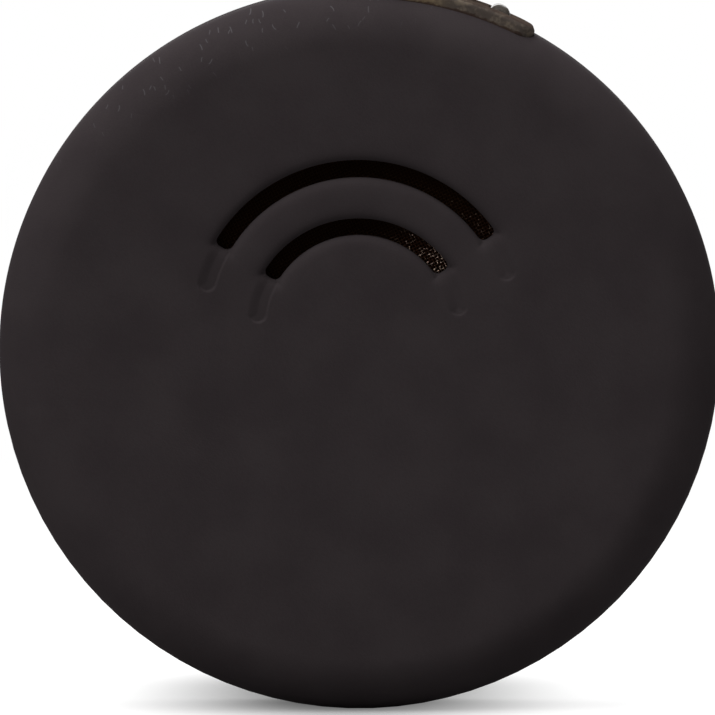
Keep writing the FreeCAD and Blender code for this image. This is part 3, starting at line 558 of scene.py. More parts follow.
# The skin is opened where the slots are, and the walls of the slots are drawn from their edges
points, faces = skin(rows)
count = len(face_clocks)
open_quads = set()
for slot in (inner_slot, outer_slot):
    for r in range(*slot["rows"]):
        open_quads |= {r * count + k for k in range(first_column, last_column)}
faces = [face for k, face in enumerate(faces) if k not in open_quads]
faces.append(tuple(range(count)))
used = sorted({k for face in faces for k in face})
renumber = {old: new for new, old in enumerate(used)}
shell_mesh = bmesh.new()
for k in used:
    shell_mesh.verts.new(points[k])
shell_mesh.verts.ensure_lookup_table()
for face in faces:
    shell_mesh.faces.new([shell_mesh.verts[renumber[k]] for k in face])
shell_mesh.edges.ensure_lookup_table()
rims = [e for e in shell_mesh.edges if e.is_boundary]
inner_rim = [e for e in rims if min(v.co.y for v in e.verts) > front_y + wall - slack]
slot_rims = [e for e in rims if e not in inner_rim]
drawn = bmesh.ops.extrude_edge_only(shell_mesh, edges=slot_rims)["geom"]
for item in drawn:
    if isinstance(item, bmesh.types.BMVert):
        item.co.y = front_y + wall
slot_feet = [e for e in drawn if isinstance(e, bmesh.types.BMEdge) and e.is_boundary]
bmesh.ops.triangle_fill(shell_mesh, edges=inner_rim + slot_feet, use_beauty=True, normal=(0, 1, 0))
bmesh.ops.recalc_face_normals(shell_mesh, faces=shell_mesh.faces)
bmesh.ops.scale(shell_mesh, vec=(MM, MM, MM), verts=shell_mesh.verts)
front_mesh = bpy.data.meshes.new("front_casing")
shell_mesh.to_mesh(front_mesh)
shell_mesh.free()
front_casing = new_object("front_casing", front_mesh)
bosses = [plug("boss", boss_r, wall - fit, board_front, clock, screw_ring_r) for clock in screw_clocks]
carve(front_casing, bosses, "UNION")
past_board = board_front + overshoot
pilots = [plug("pilot", pilot_r, pilot_tip, past_board, clock, screw_ring_r) for clock in screw_clocks]
carve(front_casing, bracket_tools() + pilots)
smooth(front_casing)


def new_group(name, inputs, outputs, kind="ShaderNodeTree"):
    """An empty node group with sockets by name and kind, and the sockets of its input and output nodes."""
    group = bpy.data.node_groups.new(name, kind)
    for in_out, sockets in (("INPUT", inputs), ("OUTPUT", outputs)):
        for socket, holds in sockets.items():
            group.interface.new_socket(name=socket, in_out=in_out, socket_type="NodeSocket" + holds)
    return group, group.nodes.new("NodeGroupInput").outputs, group.nodes.new("NodeGroupOutput").inputs


def noise(tree, place, scale, detail):
    """A soft noise from nought to one."""
    return add(tree, "ShaderNodeTexNoise", {"Vector": place, "Scale": scale, "Detail": detail}).outputs[0]


pattern_outputs = {"Color": "Color", "Roughness": "Float", "Height": "Float"}
grain, given, out = new_group(
    "moulded_grain",
    {
        "Light": "Color", "Dark": "Color", "Grain Scale": "Float", "Cloud Scale": "Float",
        "Smooth": "Float", "Rough": "Float",
    },
    pattern_outputs,
)
place = object_place(grain)
fine = noise(grain, place, given["Grain Scale"], 3.0)
cloud = noise(grain, place, given["Cloud Scale"], 4.0)
both = calc(grain, "MULTIPLY_ADD", fine, 0.35, times(grain, cloud, 0.65))
lighter = ramp(grain, both, 0.3, 0.7)
grain.links.new(blend_colours(grain, lighter, given["Dark"], given["Light"]), out["Color"])
grain.links.new(ramp(grain, both, 0.3, 0.7, given["Smooth"], given["Rough"]), out["Roughness"])
grain.links.new(fine, out["Height"])

lint_inputs = {"Cell": "Float", "Share": "Float", "Length": "Float"}
lint, given, out = new_group("lint", lint_inputs, {"Mask": "Float"})
place = object_place(lint)
parts = split(lint, place)
across = calc(lint, "DIVIDE", parts[0], MM)
upwards = calc(lint, "DIVIDE", parts[2], MM)
flat = add(lint, "ShaderNodeCombineXYZ", {0: across, 1: upwards}).outputs[0]
cells = add(
    lint, "ShaderNodeTexVoronoi",
    {"Vector": flat, "Scale": calc(lint, "DIVIDE", 1.0, given["Cell"]), "Randomness": 0.9},
    voronoi_dimensions="2D",
).outputs
dice = add(lint, "ShaderNodeSeparateColor", {0: cells["Color"]}).outputs
local = add(lint, "ShaderNodeVectorMath", {0: flat, 1: cells["Position"]}, operation="SUBTRACT").outputs[0]
lean_by = calc(lint, "MULTIPLY_ADD", dice[0], 1.5, 0.85)
turned = add(
    lint, "ShaderNodeVectorRotate", {"Vector": local, "Angle": lean_by}, rotation_type="Z_AXIS"
).outputs[0]
hair = split(lint, turned)
curl = calc(lint, "MULTIPLY_ADD", dice[2], 4.0, -2.0)
bow = times(lint, times(lint, hair[0], hair[0]), curl)
off_line = calc(lint, "ABSOLUTE", calc(lint, "SUBTRACT", hair[1], bow))
thin = ramp(lint, off_line, 0.03, 0.012)
short = ramp(lint, calc(lint, "DIVIDE", calc(lint, "ABSOLUTE", hair[0]), given["Length"]), 1.1, 0.7)
picked = calc(lint, "LESS_THAN", dice[1], given["Share"])
lint.links.new(times(lint, times(lint, thin, short), picked), out["Mask"])


def surface(name, metal=0.0, gloss=0.5):
    """A new material with its shader, ready for its pattern."""
    made = bpy.data.materials.new(name)
    made.use_nodes = True
    made.node_tree.nodes.clear()
    shader = add(made.node_tree, "ShaderNodeBsdfPrincipled", {"Metallic": metal, "Specular IOR Level": gloss})
    add(made.node_tree, "ShaderNodeOutputMaterial", {"Surface": shader.outputs[0]})
    return made, made.node_tree, shader


def use(tree, group, **values):
    """Places a shared node group in a material's tree, with its values, and gives its outputs."""
    placed = add(tree, "ShaderNodeGroup", node_tree=group)
    for name, value in values.items():
        placed.inputs[name.replace("_", " ")].default_value = value
    return placed.outputs


def emboss(tree, shader, height, deep):
    """Bumps a surface by a height, whose full range is a depth in millimetres."""
    bump = add(tree, "ShaderNodeBump", {"Height": height, "Distance": deep * MM})
    tree.links.new(bump.outputs[0], shader.inputs["Normal"])


def coat_with(piece, finish):
    """Gives a piece one finish all over."""
    piece.data.materials.clear()
    piece.data.materials.append(finish)


soft_touch, tree, shader = surface("soft_touch_black", gloss=0.005)
coat = use(
    tree, grain, Light=(0.025, 0.0208, 0.0217, 1), Dark=(0.0198, 0.0162, 0.0172, 1), Grain_Scale=14000.0,
    Cloud_Scale=350.0, Smooth=0.75, Rough=0.9,
)
place = object_place(tree)
parts = split(tree, place)
from_hub = distance(tree, place, hub * MM)
above_hub = calc(tree, "SUBTRACT", parts[2], hub_z * MM)
up_left = calc(tree, "MULTIPLY_ADD", parts[0], -0.35, times(tree, above_hub, 0.94))
on_rim = times(
    tree, ramp(tree, from_hub, 12.8 * MM, 14.2 * MM), ramp(tree, up_left, 11.2 * MM, 14.0 * MM)
)
hairs = calc(
    tree, "MAXIMUM", use(tree, lint, Cell=0.62, Share=0.32, Length=0.14)["Mask"],
    times(tree, use(tree, lint, Cell=0.37, Share=0.14, Length=0.1)["Mask"], 0.8),
)
hairs = times(tree, hairs, on_rim)
dusted = blend_colours(tree, times(tree, hairs, 0.35), coat["Color"], (0.083, 0.081, 0.086, 1))
tree.links.new(dusted, shader.inputs["Base Color"])
tree.links.new(coat["Roughness"], shader.inputs["Roughness"])
emboss(tree, shader, coat["Height"], 0.006)
coat_with(front_casing, soft_touch)
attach(front_casing, "case")
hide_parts("front_shell")

# Speaker mesh: a round of woven bronze wire behind the slots, on a thin black film that keeps water out.
# Its edge is clamped between the front wall and the foam ring of the sounder.
mesh_r = 8.5
mesh_front = 0.902
mesh_back = 1.0
film_t = 0.014
film_sides = 144
wire_r = 0.021
wire_pitch = 0.13
wire_bulge = 0.02
weave_turn = math.radians(24.0)
weave_margin = 0.1
weave_past_end = 2.0
weave_count = 114
weave_values = {
    "Pitch": wire_pitch * MM,
    "Wire Radius": wire_r * MM,
    "Bulge": wire_bulge * MM,
    "Turn": weave_turn,
    "Outer Radius": outer_slot["radius"] * MM,
    "Inner Radius": inner_slot["radius"] * MM,
    "Inner Drop": inner_drop * MM,
    "Half Width": (outer_slot["half"] + weave_margin) * MM,
    "Span": math.radians(slot_span + weave_past_end),
    "Depth": (front_y + mesh_front + wire_r + wire_bulge) * MM,
    "Height": (hub_z + slot_rise) * MM,
}
weave_inputs = {"Geometry": "Geometry", **dict.fromkeys(weave_values, "Float")}
weave_inputs |= {"Count": "Int", "Finish": "Material"}
weave, given, out = new_group("woven_wire", weave_inputs, {"Geometry": "Geometry"}, "GeometryNodeTree")
half_pitch = times(weave, given["Pitch"], 0.5)
start = add(weave, "ShaderNodeCombineXYZ", {0: times(weave, half_pitch, -1.0)}).outputs[0]
stop = add(weave, "ShaderNodeCombineXYZ", {0: half_pitch}).outputs[0]
line = add(weave, "GeometryNodeCurvePrimitiveLine", {"Start": start, "End": stop}).outputs[0]
line = add(weave, "GeometryNodeResampleCurve", {"Curve": line, "Count": 6}).outputs[0]
along = split(weave, add(weave, "GeometryNodeInputPosition").outputs[0])[0]
wave = calc(weave, "COSINE", times(weave, calc(weave, "DIVIDE", along, given["Pitch"]), math.pi))
lifted = add(weave, "ShaderNodeCombineXYZ", {2: times(weave, wave, given["Bulge"])}).outputs[0]
line = add(weave, "GeometryNodeSetPosition", {"Geometry": line, "Offset": lifted}).outputs[0]
round_wire = add(
    weave, "GeometryNodeCurvePrimitiveCircle", {"Resolution": 5, "Radius": given["Wire Radius"]}
).outputs[0]
knuckle = add(
    weave, "GeometryNodeCurveToMesh", {"Curve": line, "Profile Curve": round_wire, "Fill Caps": True}
).outputs[0]
side = times(weave, calc(weave, "SUBTRACT", given["Count"], 1.0), given["Pitch"])
grid = add(
    weave, "GeometryNodeMeshGrid",
    {"Size X": side, "Size Y": side, "Vertices X": given["Count"], "Vertices Y": given["Count"]},
).outputs[0]
spin = add(weave, "ShaderNodeCombineXYZ", {2: given["Turn"]}).outputs[0]
grid = add(weave, "GeometryNodeTransform", {"Geometry": grid, "Rotation": spin}).outputs[0]
index = add(weave, "GeometryNodeInputIndex").outputs[0]
column = calc(weave, "FLOOR", calc(weave, "DIVIDE", calc(weave, "ADD", index, 0.5), given["Count"]))
odd = calc(weave, "MODULO", calc(weave, "ADD", index, column), 2.0)
odd = calc(weave, "MODULO", calc(weave, "ADD", odd, times(weave, column, given["Count"])), 2.0)
spot = split(weave, add(weave, "GeometryNodeInputPosition").outputs[0])


def in_band(radius, drop):
    """One for the crossings that lie behind a slot."""
    up = calc(weave, "ADD", spot[1], drop)
    across_sq = times(weave, spot[0], spot[0])
    reach = calc(weave, "SQRT", calc(weave, "MULTIPLY_ADD", up, up, across_sq))
    off = calc(weave, "ABSOLUTE", calc(weave, "SUBTRACT", reach, radius))
    clock = calc(weave, "ABSOLUTE", calc(weave, "ARCTAN2", spot[0], up))
    beside_slot = calc(weave, "LESS_THAN", off, given["Half Width"])
    return times(weave, beside_slot, calc(weave, "LESS_THAN", clock, given["Span"]))


behind_outer = in_band(given["Outer Radius"], 0.0)
behind = calc(weave, "MAXIMUM", behind_outer, in_band(given["Inner Radius"], given["Inner Drop"]))
woven = weave.nodes.new("GeometryNodeJoinGeometry")
for quarter, flipped in ((0.0, odd), (math.pi / 2, calc(weave, "SUBTRACT", 1.0, odd))):
    facing = add(
        weave, "ShaderNodeCombineXYZ",
        {0: times(weave, flipped, math.pi), 2: calc(weave, "ADD", given["Turn"], quarter)},
    ).outputs[0]
    laid = add(
        weave, "GeometryNodeInstanceOnPoints",
        {"Points": grid, "Selection": behind, "Instance": knuckle, "Rotation": facing},
    ).outputs[0]
    weave.links.new(laid, woven.inputs[0])
whole = add(weave, "GeometryNodeRealizeInstances", {"Geometry": woven.outputs[0]}).outputs[0]
stand = add(weave, "ShaderNodeCombineXYZ", {1: given["Depth"], 2: given["Height"]}).outputs[0]
whole = add(
    weave, "GeometryNodeTransform",
    {"Geometry": whole, "Translation": stand, "Rotation": (math.pi / 2, 0, 0)},
).outputs[0]
whole = add(weave, "GeometryNodeSetMaterial", {"Geometry": whole, "Material": given["Finish"]}).outputs[0]
weave.links.new(whole, out["Geometry"])

tarnish, given, out = new_group(
    "tarnish",
    {
        "Clean": "Color", "Dull": "Color", "Patch Scale": "Float", "Share": "Float",
        "Smooth": "Float", "Rough": "Float",
    },
    pattern_outputs,
)
place = object_place(tarnish)
patches = noise(tarnish, place, given["Patch Scale"], 5.0)
specks = noise(tarnish, place, times(tarnish, given["Patch Scale"], 6.0), 2.0)
mottle = calc(tarnish, "MULTIPLY_ADD", specks, 0.35, times(tarnish, patches, 0.65))
edge = calc(tarnish, "SUBTRACT", 0.72, times(tarnish, given["Share"], 0.4))
bare = ramp(tarnish, mottle, calc(tarnish, "SUBTRACT", edge, 0.07), calc(tarnish, "ADD", edge, 0.07))
tarnish.links.new(blend_colours(tarnish, bare, given["Dull"], given["Clean"]), out["Color"])
tarnish.links.new(ramp(tarnish, bare, 0.0, 1.0, given["Rough"], given["Smooth"]), out["Roughness"])
tarnish.links.new(mottle, out["Height"])


def put_on(tree, shader, pattern, deep):
    """Gives a shader the colour, the roughness and the bumps of a pattern."""
    tree.links.new(pattern["Color"], shader.inputs["Base Color"])
    tree.links.new(pattern["Roughness"], shader.inputs["Roughness"])
    emboss(tree, shader, pattern["Height"], deep)


def tarnished(name, shiny, darker, patch_scale, share, smooth_at, rough_at, deep, metal=1.0):
    """A metal with dull patches."""
    made, tree, shader = surface(name, metal, gloss=0.03)
    worn = use(
        tree, tarnish, Clean=(*shiny, 1), Dull=(*darker, 1), Patch_Scale=patch_scale, Share=share,
        Smooth=smooth_at, Rough=rough_at,
    )
    put_on(tree, shader, worn, deep)
    return made


def moulded(name, light, dark, cloud_scale=900.0, smooth_at=0.45, rough_at=0.65, gloss=0.35, deep=0.004):
    """A plain moulded or sintered material with a fine grain."""
    made, tree, shader = surface(name, gloss=gloss)
    coat = use(
        tree, grain, Light=(*light, 1), Dark=(*dark, 1), Grain_Scale=16000.0, Cloud_Scale=cloud_scale,
        Smooth=smooth_at, Rough=rough_at,
    )
    put_on(tree, shader, coat, deep)
    return made


# Painted light: around two spots near the right ends of the slots, more of the wire shows clean bronze, as
# painted glints where light reaches in.
glint_spot = Vector((3.5, front_y + mesh_front, hub_z + 3.35)) * MM
second_glint_spot = Vector((5.5, front_y + mesh_front, hub_z + 4.7)) * MM
second_glint_weaker = 1.5 * MM
wire_bronze, tree, shader = surface("wire_bronze", metal=1.0)
worn = use(
    tree, tarnish, Clean=(0.43, 0.33, 0.27, 1), Dull=(0.022, 0.009, 0.005, 1), Patch_Scale=7500.0,
    Smooth=0.25, Rough=0.6,
)
place = object_place(tree)
from_second_glint = calc(tree, "ADD", distance(tree, place, second_glint_spot), second_glint_weaker)
from_glint_spot = calc(tree, "MINIMUM", distance(tree, place, glint_spot), from_second_glint)
tree.links.new(ramp(tree, from_glint_spot, 0.0, 4.5 * MM, 0.38, 0.05), worn["Color"].node.inputs["Share"])
# Painted shade: away from the two spots, the wire's colour is darkened nearly to black.
darker = ramp(tree, from_glint_spot, 0.4 * MM, 3.4 * MM, 0.0, 0.93)
glints_and_painted_shade = blend_colours(tree, darker, worn["Color"], (0.01, 0.0045, 0.0018, 1))
tree.links.new(glints_and_painted_shade, shader.inputs["Base Color"])
tree.links.new(worn["Roughness"], shader.inputs["Roughness"])
film_black = moulded("film_black", (0.009, 0.0028, 0.0009), (0.006, 0.002, 0.0007), gloss=0.0)
wires = new_object("woven_wires", bpy.data.meshes.new("wires"))
weaver = wires.modifiers.new("weave", "NODES")
weaver.node_group = weave
sockets = {item.name: item.identifier for item in weave.interface.items_tree if item.in_out == "INPUT"}
for name, value in {**weave_values, "Count": weave_count, "Finish": wire_bronze}.items():
    weaver[sockets[name]] = value
apply_modifiers(wires)
smooth(wires, 60.0)
film = plug("mesh_film", mesh_r, mesh_back - film_t, mesh_back, 0.0, slot_rise, film_sides)
coat_with(film, film_black)
smooth(film)
for piece in (wires, film):
    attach(piece, "case")
    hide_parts("speaker_mesh")

# Sounder: a brass disc with a silvered ceramic disc bonded on it, which buzzes when it is driven.
# A foam ring seals it against the mesh, a plastic ring holds it, and two gold pads feed it.
metal_grain, given, out = new_group(
    "metal_grain",
    {
        "Bright": "Color", "Deep": "Color", "Stretch": "Vector", "Round": "Float",
        "Smooth": "Float", "Rough": "Float",
    },
    pattern_outputs,
)
place = object_place(metal_grain)
parts = split(metal_grain, place)
over = calc(metal_grain, "SUBTRACT", parts[2], hub_z * MM)
from_axis = hypotenuse(metal_grain, over, parts[0])
straight = add(
    metal_grain, "ShaderNodeVectorMath", {0: place, 1: given["Stretch"]}, operation="MULTIPLY"
).outputs[0]
turned = add(
    metal_grain, "ShaderNodeCombineXYZ",
    {0: times(metal_grain, from_axis, 12000.0), 1: times(metal_grain, parts[1], 400.0)},
).outputs[0]
drawn = blend_colours(metal_grain, given["Round"], straight, turned)
lines = noise(metal_grain, drawn, 1.0, 3.0)
spots = noise(metal_grain, place, 500.0, 3.0)
both = calc(metal_grain, "MULTIPLY_ADD", lines, 0.6, times(metal_grain, spots, 0.4))
brighter = ramp(metal_grain, both, 0.35, 0.65)
metal_grain.links.new(blend_colours(metal_grain, brighter, given["Deep"], given["Bright"]), out["Color"])
metal_grain.links.new(ramp(metal_grain, both, 0.35, 0.65, given["Rough"], given["Smooth"]), out["Roughness"])
metal_grain.links.new(lines, out["Height"])


def drawn_metal(name, bright, deep, stretch=(900.0, 900.0, 9000.0), around=0.0, smooth_at=0.18, rough_at=0.4):
    """A rolled, drawn or turned metal, with the fine lines that this leaves."""
    made, tree, shader = surface(name, metal=1.0)
    worked = use(
        tree, metal_grain, Bright=(*bright, 1), Deep=(*deep, 1), Stretch=stretch, Round=around,
        Smooth=smooth_at, Rough=rough_at,
    )
    put_on(tree, shader, worked, 0.002)
    return made


def carry(name, finish):
    """Gives a piece of the model its finish, with its shape left as it is."""
    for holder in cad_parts[name].material_slots:
        holder.material = finish


foam = moulded("closed_foam", (0.07, 0.07, 0.07), (0.025, 0.025, 0.025), 4000.0, 0.85, 1.0, 0.1, 0.03)
frame_plastic = moulded("frame_plastic", (0.055, 0.055, 0.06), (0.04, 0.04, 0.044))
carry("mesh_gasket", foam)
carry("piezo_plate", drawn_metal("rolled_brass", (0.78, 0.6, 0.3), (0.62, 0.46, 0.2)))
silvered = moulded("silvered_ceramic", (0.82, 0.8, 0.75), (0.68, 0.66, 0.6), 1500.0, 0.3, 0.5, 0.5)
carry("piezo_ceramic", silvered)
carry("piezo_ring", frame_plastic)
gold = tarnished("contact_gold", (0.86, 0.64, 0.28), (0.66, 0.46, 0.18), 2500.0, 0.8, 0.15, 0.3, 0.002)
carry("piezo_contacts", gold)

# Board: a round of glass and resin under green solder mask, with the radio, its crystal and antenna,
# and the small parts of the supply. Three screws hold it and the frame to the bosses of the front shell.
mask, tree, shader = surface("solder_mask")
coat = use(
    tree, grain, Light=(0.02, 0.135, 0.065, 1), Dark=(0.014, 0.1, 0.048, 1), Grain_Scale=9000.0,
    Cloud_Scale=600.0, Smooth=0.22, Rough=0.38,
)
place = object_place(tree)
parts = split(tree, place)
plan = add(tree, "ShaderNodeCombineXYZ", {0: parts[0], 1: parts[2]}).outputs[0]
tracks = add(
    tree, "ShaderNodeTexVoronoi", {"Vector": plan, "Scale": 900.0},
    voronoi_dimensions="2D", feature="DISTANCE_TO_EDGE", distance="MANHATTAN",
).outputs["Distance"]
copper = ramp(tree, tracks, 0.09, 0.06)
shade = blend_colours(tree, times(tree, copper, 0.7), coat["Color"], (0.05, 0.21, 0.08, 1))
tree.links.new(shade, shader.inputs["Base Color"])
tree.links.new(coat["Roughness"], shader.inputs["Roughness"])
emboss(tree, shader, copper, 0.012)
carry("circuit_board", mask)
carry("radio_chip", moulded("chip_resin", (0.035, 0.035, 0.036), (0.024, 0.024, 0.025), 3000.0))
carry("power_inductor", moulded("ferrite", (0.1, 0.1, 0.105), (0.06, 0.06, 0.062), 4000.0, 0.6, 0.8))
carry("crystal", drawn_metal("crystal_lid", (0.78, 0.75, 0.7), (0.62, 0.6, 0.56)))
carry("chip_antenna", moulded("antenna_ceramic", (0.78, 0.8, 0.82), (0.68, 0.7, 0.72), 2500.0))
carry("chip_capacitors", moulded("capacitor_ceramic", (0.5, 0.38, 0.26), (0.4, 0.29, 0.19), 2500.0))
glaze = moulded("resistor_glaze", (0.045, 0.045, 0.05), (0.03, 0.03, 0.034), 2500.0, 0.2, 0.35)
carry("chip_resistors", glaze)
zinc_plate = tarnished("zinc_plate", (0.6, 0.6, 0.62), (0.42, 0.43, 0.46), 1500.0, 0.7, 0.25, 0.45, 0.003)
carry("board_screws", zinc_plate)

# Frame: a black moulded ring that holds the cell, clamps the board and takes the bracket's pin. Beside it
# sit the switch and its little plunger, which the button pushes.
carry("inner_frame", frame_plastic)
carry("tact_switch", moulded("switch_plastic", (0.09, 0.09, 0.09), (0.065, 0.065, 0.065)))
carry("switch_plunger", moulded("plunger_plastic", (0.74, 0.71, 0.65), (0.64, 0.61, 0.55)))

# Cell: a flat round coin cell, a steel can and cap crimped on a plastic ring. Two plated springs touch it,
# a leaf on the board under its cap and a clip in the frame against the side of its can.
cell_steel = drawn_metal("cell_steel", (0.74, 0.73, 0.72), (0.58, 0.57, 0.56), around=1.0)
contact_steel = drawn_metal("contact_steel", (0.76, 0.72, 0.62), (0.6, 0.56, 0.48))
carry("cell_can", cell_steel)
carry("cell_cap", cell_steel)
carry("cell_seal", moulded("cell_plastic", (0.62, 0.62, 0.6), (0.54, 0.54, 0.52)))
carry("negative_contact", contact_steel)
carry("positive_contact", contact_steel)

# Back shell: the other half casing, moulded like the front, with a tongue that snaps into the front's
# groove, and a collar whose three grooves take the lugs of the battery cover. Two dots mark its turn.
tongue_l = 0.7
bead_from_tip = 0.25
bead_w = 0.2
root_l = 0.7
collar_front = 4.9
shelf = 6.0
bore_r = 11.1
rebate_r = 12.1
thread_lead = 3.6
lug_clocks = (30.0, 150.0, 270.0)
lug_depth = 5.305
groove_in = bore_r - 0.15
groove_out = 11.5
groove_half_h = 0.325
groove_before = 8.4
groove_past = 110.0
tongue_gap_in = 13.8
tongue_gap_out = wall_in + 0.5
tongue_gap_near = 2.0
tongue_gap_clocks = (-7.36, 34.96)
opening_turn = 120.0
dot_r = 0.35
dot_deep = 0.12
rebate_bevel = 0.04
back_rim_middle = 4.0
back_sides = 240
back_clocks = np.radians(np.linspace(-180, 180, back_sides, endpoint=False))
arc_depth = thickness - edge_round
tongue_tip = seam - tongue_l
bead_far = tongue_tip + bead_from_tip + bead_w / 2
bead_near = bead_far - bead_w
bead_out = tongue_out + bead_h
section = [(case_r - seam_bevel, seam), (case_r, seam + seam_bevel), (case_r, back_rim_middle)]
section += round_arc(flat_r, arc_depth, edge_round, 90, 180, 17)
section += [(rebate_r + rebate_bevel, thickness), (rebate_r, thickness - rebate_bevel), (rebate_r, shelf)]
section += [(bore_r, shelf), (bore_r, collar_front), (flat_r, collar_front)]
section += round_arc(flat_r, arc_depth, edge_round - wall, 180, 90, 9)
section += [(wall_in, seam + root_l), (tongue_in, seam + root_l), (tongue_in, tongue_tip)]
section += [(tongue_out, tongue_tip), (tongue_out, bead_near), (bead_out, bead_near), (bead_out, bead_far)]
section += [(tongue_out, bead_far), (tongue_out, seam)]
back_casing = shape("back_casing", *skin([clock_ring(r, d, back_clocks) for r, d in section], "joined"))
start_depth = lug_depth - thread_lead * groove_before / 360
grooves = [
    arc_bar(
        "groove", groove_in, groove_out, start_depth - groove_half_h, start_depth + groove_half_h,
        clock - groove_before, clock + groove_past, thread_lead,
    )
    for clock in lug_clocks
]
past_back = thickness + overshoot
dots = [plug("dot", dot_r, thickness - dot_deep, past_back, clock, flat_r) for clock in (0.0, opening_turn)]
tongue_gap = arc_bar("tongue_gap", tongue_gap_in, tongue_gap_out, tongue_gap_near, seam, *tongue_gap_clocks)
carve(back_casing, grooves + dots + [tongue_gap])
carve(back_casing, bracket_tools())
smooth(back_casing)
coat_with(back_casing, soft_touch)
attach(back_casing, "case")
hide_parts("back_shell")

# Key loop: a cast bronze bracket let into the rim across the seam, with a flat loop for a key ring.
# Its surface is aged, its edges are worn soft, and a steel pin through its tenon keeps it in the frame.
loop_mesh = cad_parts["key_loop"].data.copy()
work = bmesh.new()
work.from_mesh(loop_mesh)
bmesh.ops.remove_doubles(work, verts=work.verts, dist=1e-7)
bmesh.ops.recalc_face_normals(work, faces=work.faces)
work.to_mesh(loop_mesh)
work.free()
key_bracket = new_object("key_bracket", loop_mesh)
even = key_bracket.modifiers.new("even", "REMESH")
even.mode = "VOXEL"
even.voxel_size = 0.05 * MM
worn = key_bracket.modifiers.new("worn", "SMOOTH")
worn.factor = 0.5
worn.iterations = 2
apply_modifiers(key_bracket)
smooth(key_bracket, 50.0)
aged_bronze, tree, shader = surface("aged_bronze", gloss=0.0)
worn = use(
    tree, tarnish, Clean=(0.076, 0.061, 0.047, 1), Dull=(0.043, 0.035, 0.03, 1), Patch_Scale=1100.0,
    Share=0.5, Smooth=0.5, Rough=0.7,
)
place = object_place(tree)
parts = split(tree, place)
over = calc(tree, "SUBTRACT", parts[2], hub_z * MM)
reach = hypotenuse(tree, over, parts[0])
# Darker along the ragged lower edge by the seat and along the top edge below the loop, and less metallic
# there.
edge_noise = noise(tree, place, 3200.0, 3.0)
low_edge = calc(tree, "MULTIPLY_ADD", edge_noise, 0.42 * MM, (seat_r - 0.06) * MM)
dark_low_edge = ramp(tree, calc(tree, "SUBTRACT", reach, low_edge), 0.05 * MM, -0.03 * MM)
ragged = calc(tree, "ADD", reach, times(tree, edge_noise, 0.1 * MM))
top_edge = ramp(tree, ragged, (strip_out - 0.05) * MM, (strip_out + 0.02) * MM)
below_loop = ramp(tree, reach, (strip_out + 0.1) * MM, (strip_out + 0.5) * MM, 1.0, 0.0)
dark_top_edge = times(tree, top_edge, below_loop)
dark_edges = calc(tree, "MAXIMUM", times(tree, dark_low_edge, 0.9), times(tree, dark_top_edge, 0.55))
# Lighter and yellower towards the left end of the bracket.
yellow = ramp(tree, parts[0], 4.6 * MM, 3.2 * MM, 0.0, 0.5)
yellower_left = blend_colours(tree, times(tree, yellow, worn["Height"]), worn["Color"], (0.16, 0.11, 0.045, 1))
tree.links.new(blend_colours(tree, dark_edges, yellower_left, (0.024, 0.015, 0.012, 1)), shader.inputs["Base Color"])
tree.links.new(calc(tree, "MULTIPLY_ADD", dark_edges, 0.3, worn["Roughness"]), shader.inputs["Roughness"])
shiny = calc(tree, "SUBTRACT", 1.0, calc(tree, "MAXIMUM", dark_low_edge, dark_top_edge))
tree.links.new(times(tree, shiny, 0.3), shader.inputs["Metallic"])
emboss(tree, shader, worn["Height"], 0.02)
coat_with(key_bracket, aged_bronze)
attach(key_bracket, "case")
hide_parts("key_loop")
carry("loop_pin", drawn_metal("pin_steel", (0.62, 0.62, 0.62), (0.48, 0.48, 0.48), (9000.0, 900.0, 9000.0)))

# Side button: a small domed metal cap in the bracket's window. Its flange keeps it in the case, and a
# soft seal round its stem keeps water out.
button_w = 0.9
button_h = 2.0
button_top = 15.51
button_round = 0.42
button_corner = 0.3
flange_out = 13.95
flange_in = 13.65
flange_lip_w = 0.5
flange_lip_h = 0.4
flange_corner = 0.1
least_corner = 0.02


def rounded_outline(half_w, half_h, corner, turns=8):
    """Points round a rectangle with rounded corners."""
    points = []
    for k, (side_w, side_h) in enumerate(((1, 1), (-1, 1), (-1, -1), (1, -1))):
        for a in np.radians(np.linspace(0, 90, turns) + 90 * k):
            across = side_w * (half_w - corner) + corner * math.cos(a)
            points.append((across, side_h * (half_h - corner) + corner * math.sin(a)))
    return np.array(points)


def rim_row(clock, reach, outline):
    """An outline set square to the radius at a clock angle, with its middle on the seam."""
    out_way = outwards(clock)
    along_way = np.array([out_way[2], 0, -out_way[0]])
    middle = np.array([0, front_y + seam, hub_z]) + out_way * reach
    return middle + np.outer(outline[:, 0], along_way) + np.outer(outline[:, 1], np.array([0, 1.0, 0]))


stem = (button_w / 2, button_h / 2)
flange = (button_w / 2 + flange_lip_w, button_h / 2 + flange_lip_h)
rows = [
    rim_row(button_clock, flange_in, rounded_outline(*flange, flange_corner)),
    rim_row(button_clock, flange_out, rounded_outline(*flange, flange_corner)),
    rim_row(button_clock, flange_out, rounded_outline(*stem, button_corner)),
]
for a in np.radians(np.linspace(0, 90, 12)):
    inset = button_round * (1 - math.cos(a))
    outline = rounded_outline(stem[0] - inset, stem[1] - inset, max(button_corner - inset, least_corner))
    rows.append(rim_row(button_clock, button_top - button_round * (1 - math.sin(a)), outline))
button_cap = shape("button_cap", *skin(rows, "capped"))
smooth(button_cap, 50.0)
button_metal = tarnished(
    "button_bronze", (0.05, 0.043, 0.037), (0.03, 0.026, 0.022), 1500.0, 0.6, 0.25, 0.36, 0.004, metal=0.0
)
coat_with(button_cap, button_metal)
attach(button_cap, "side_button")
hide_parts("side_button")
seal_rubber = moulded("seal_rubber", (0.035, 0.035, 0.035), (0.022, 0.022, 0.022), 1800.0, 0.55, 0.75, 0.3)
carry("button_seal", seal_rubber)

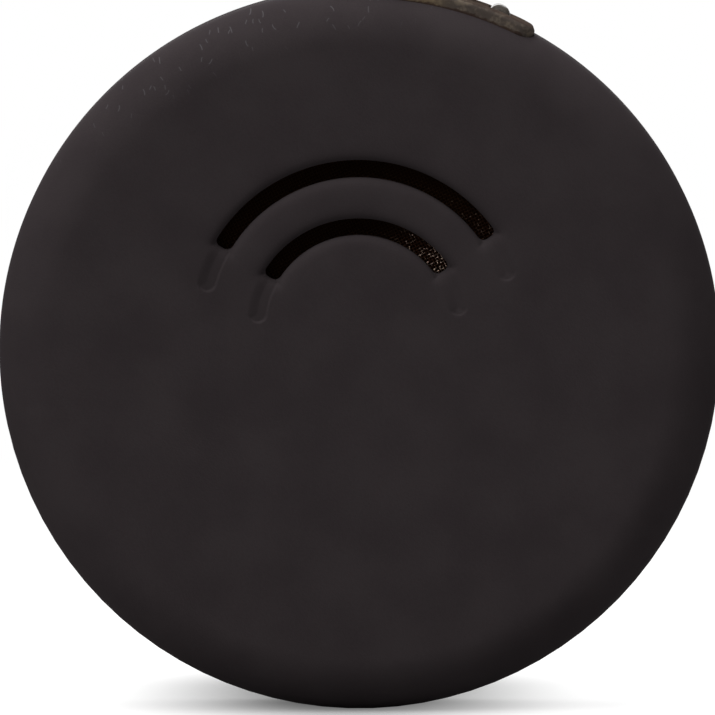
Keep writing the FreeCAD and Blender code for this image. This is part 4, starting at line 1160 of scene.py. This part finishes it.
# Battery cover: a round plate with a skirt and three lugs, opened with a coin in its slot. An O-ring in
# the corner of its skirt seals it, and a foam pad on its inside presses the cell on its contacts.
cover_r = 12.0
plate_front = 6.05
skirt_in = 10.3
skirt_out = 10.95
skirt_front = 4.95
corner_r = 11.58
corner_depth = 6.4
cover_edge = 0.12
cover_middle_r = 0.6
cover_rows = (11.4, 6.0)
lug_in = 10.8
lug_out = 11.4
lug_half_h = 0.225
lug_half_span = 8.0
lug_steps = 12
cover_dot_at = 10.95
coin_half = 0.8
coin_straight = 3.2
coin_deep = 0.35
coin_profile = ((-coin_deep, 0.0), (-0.09, 0.0), (-0.03, 0.02), (0.0, 0.05), (0.01, 0.09), (0.5, 0.6))
section = [(cover_middle_r, plate_front), (skirt_in, plate_front), (skirt_in, skirt_front)]
section += [(skirt_out, skirt_front), (skirt_out, plate_front), (corner_r, plate_front)]
section += [(corner_r, corner_depth), (cover_r, corner_depth)]
section += round_arc(cover_r - cover_edge, thickness - cover_edge, cover_edge, 90, 180, 7)
section += [(radius, thickness) for radius in (*cover_rows, cover_middle_r)]
cover_plate = shape("cover_plate", *skin([clock_ring(r, d, back_clocks) for r, d in section], "capped"))
lug_start = lug_depth - thread_lead * lug_half_span / 360
lugs = [
    arc_bar(
        "lug", lug_in, lug_out, lug_start - lug_half_h, lug_start + lug_half_h, clock - lug_half_span,
        clock + lug_half_span, thread_lead, lug_steps,
    )
    for clock in lug_clocks
]
carve(cover_plate, lugs, "UNION")
rows = []
for depth, grow in coin_profile:
    half = coin_half + grow
    bends = []
    for middle, first in ((coin_straight, 0.0), (-coin_straight, math.pi)):
        turns = np.linspace(first, first + math.pi, 20)
        bends += [(half * math.cos(a), middle + half * math.sin(a)) for a in turns]
    rows.append(np.array([(x, front_y + thickness + depth, hub_z + z) for x, z in bends]))
coin_way = shape("coin_way", *skin(rows, "capped"))
cover_dot = plug("cover_dot", dot_r, thickness - dot_deep, past_back, 0.0, cover_dot_at)
carve(cover_plate, [coin_way, cover_dot])
smooth(cover_plate)
cover_black = moulded(
    "cover_black", (0.027, 0.0225, 0.0235), (0.022, 0.018, 0.019), 350.0, 0.75, 0.9, 0.03, 0.006
)
coat_with(cover_plate, cover_black)
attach(cover_plate, "battery_cover")
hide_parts("battery_cover")
carry("cover_o_ring", seal_rubber)
carry("cover_pad", foam)
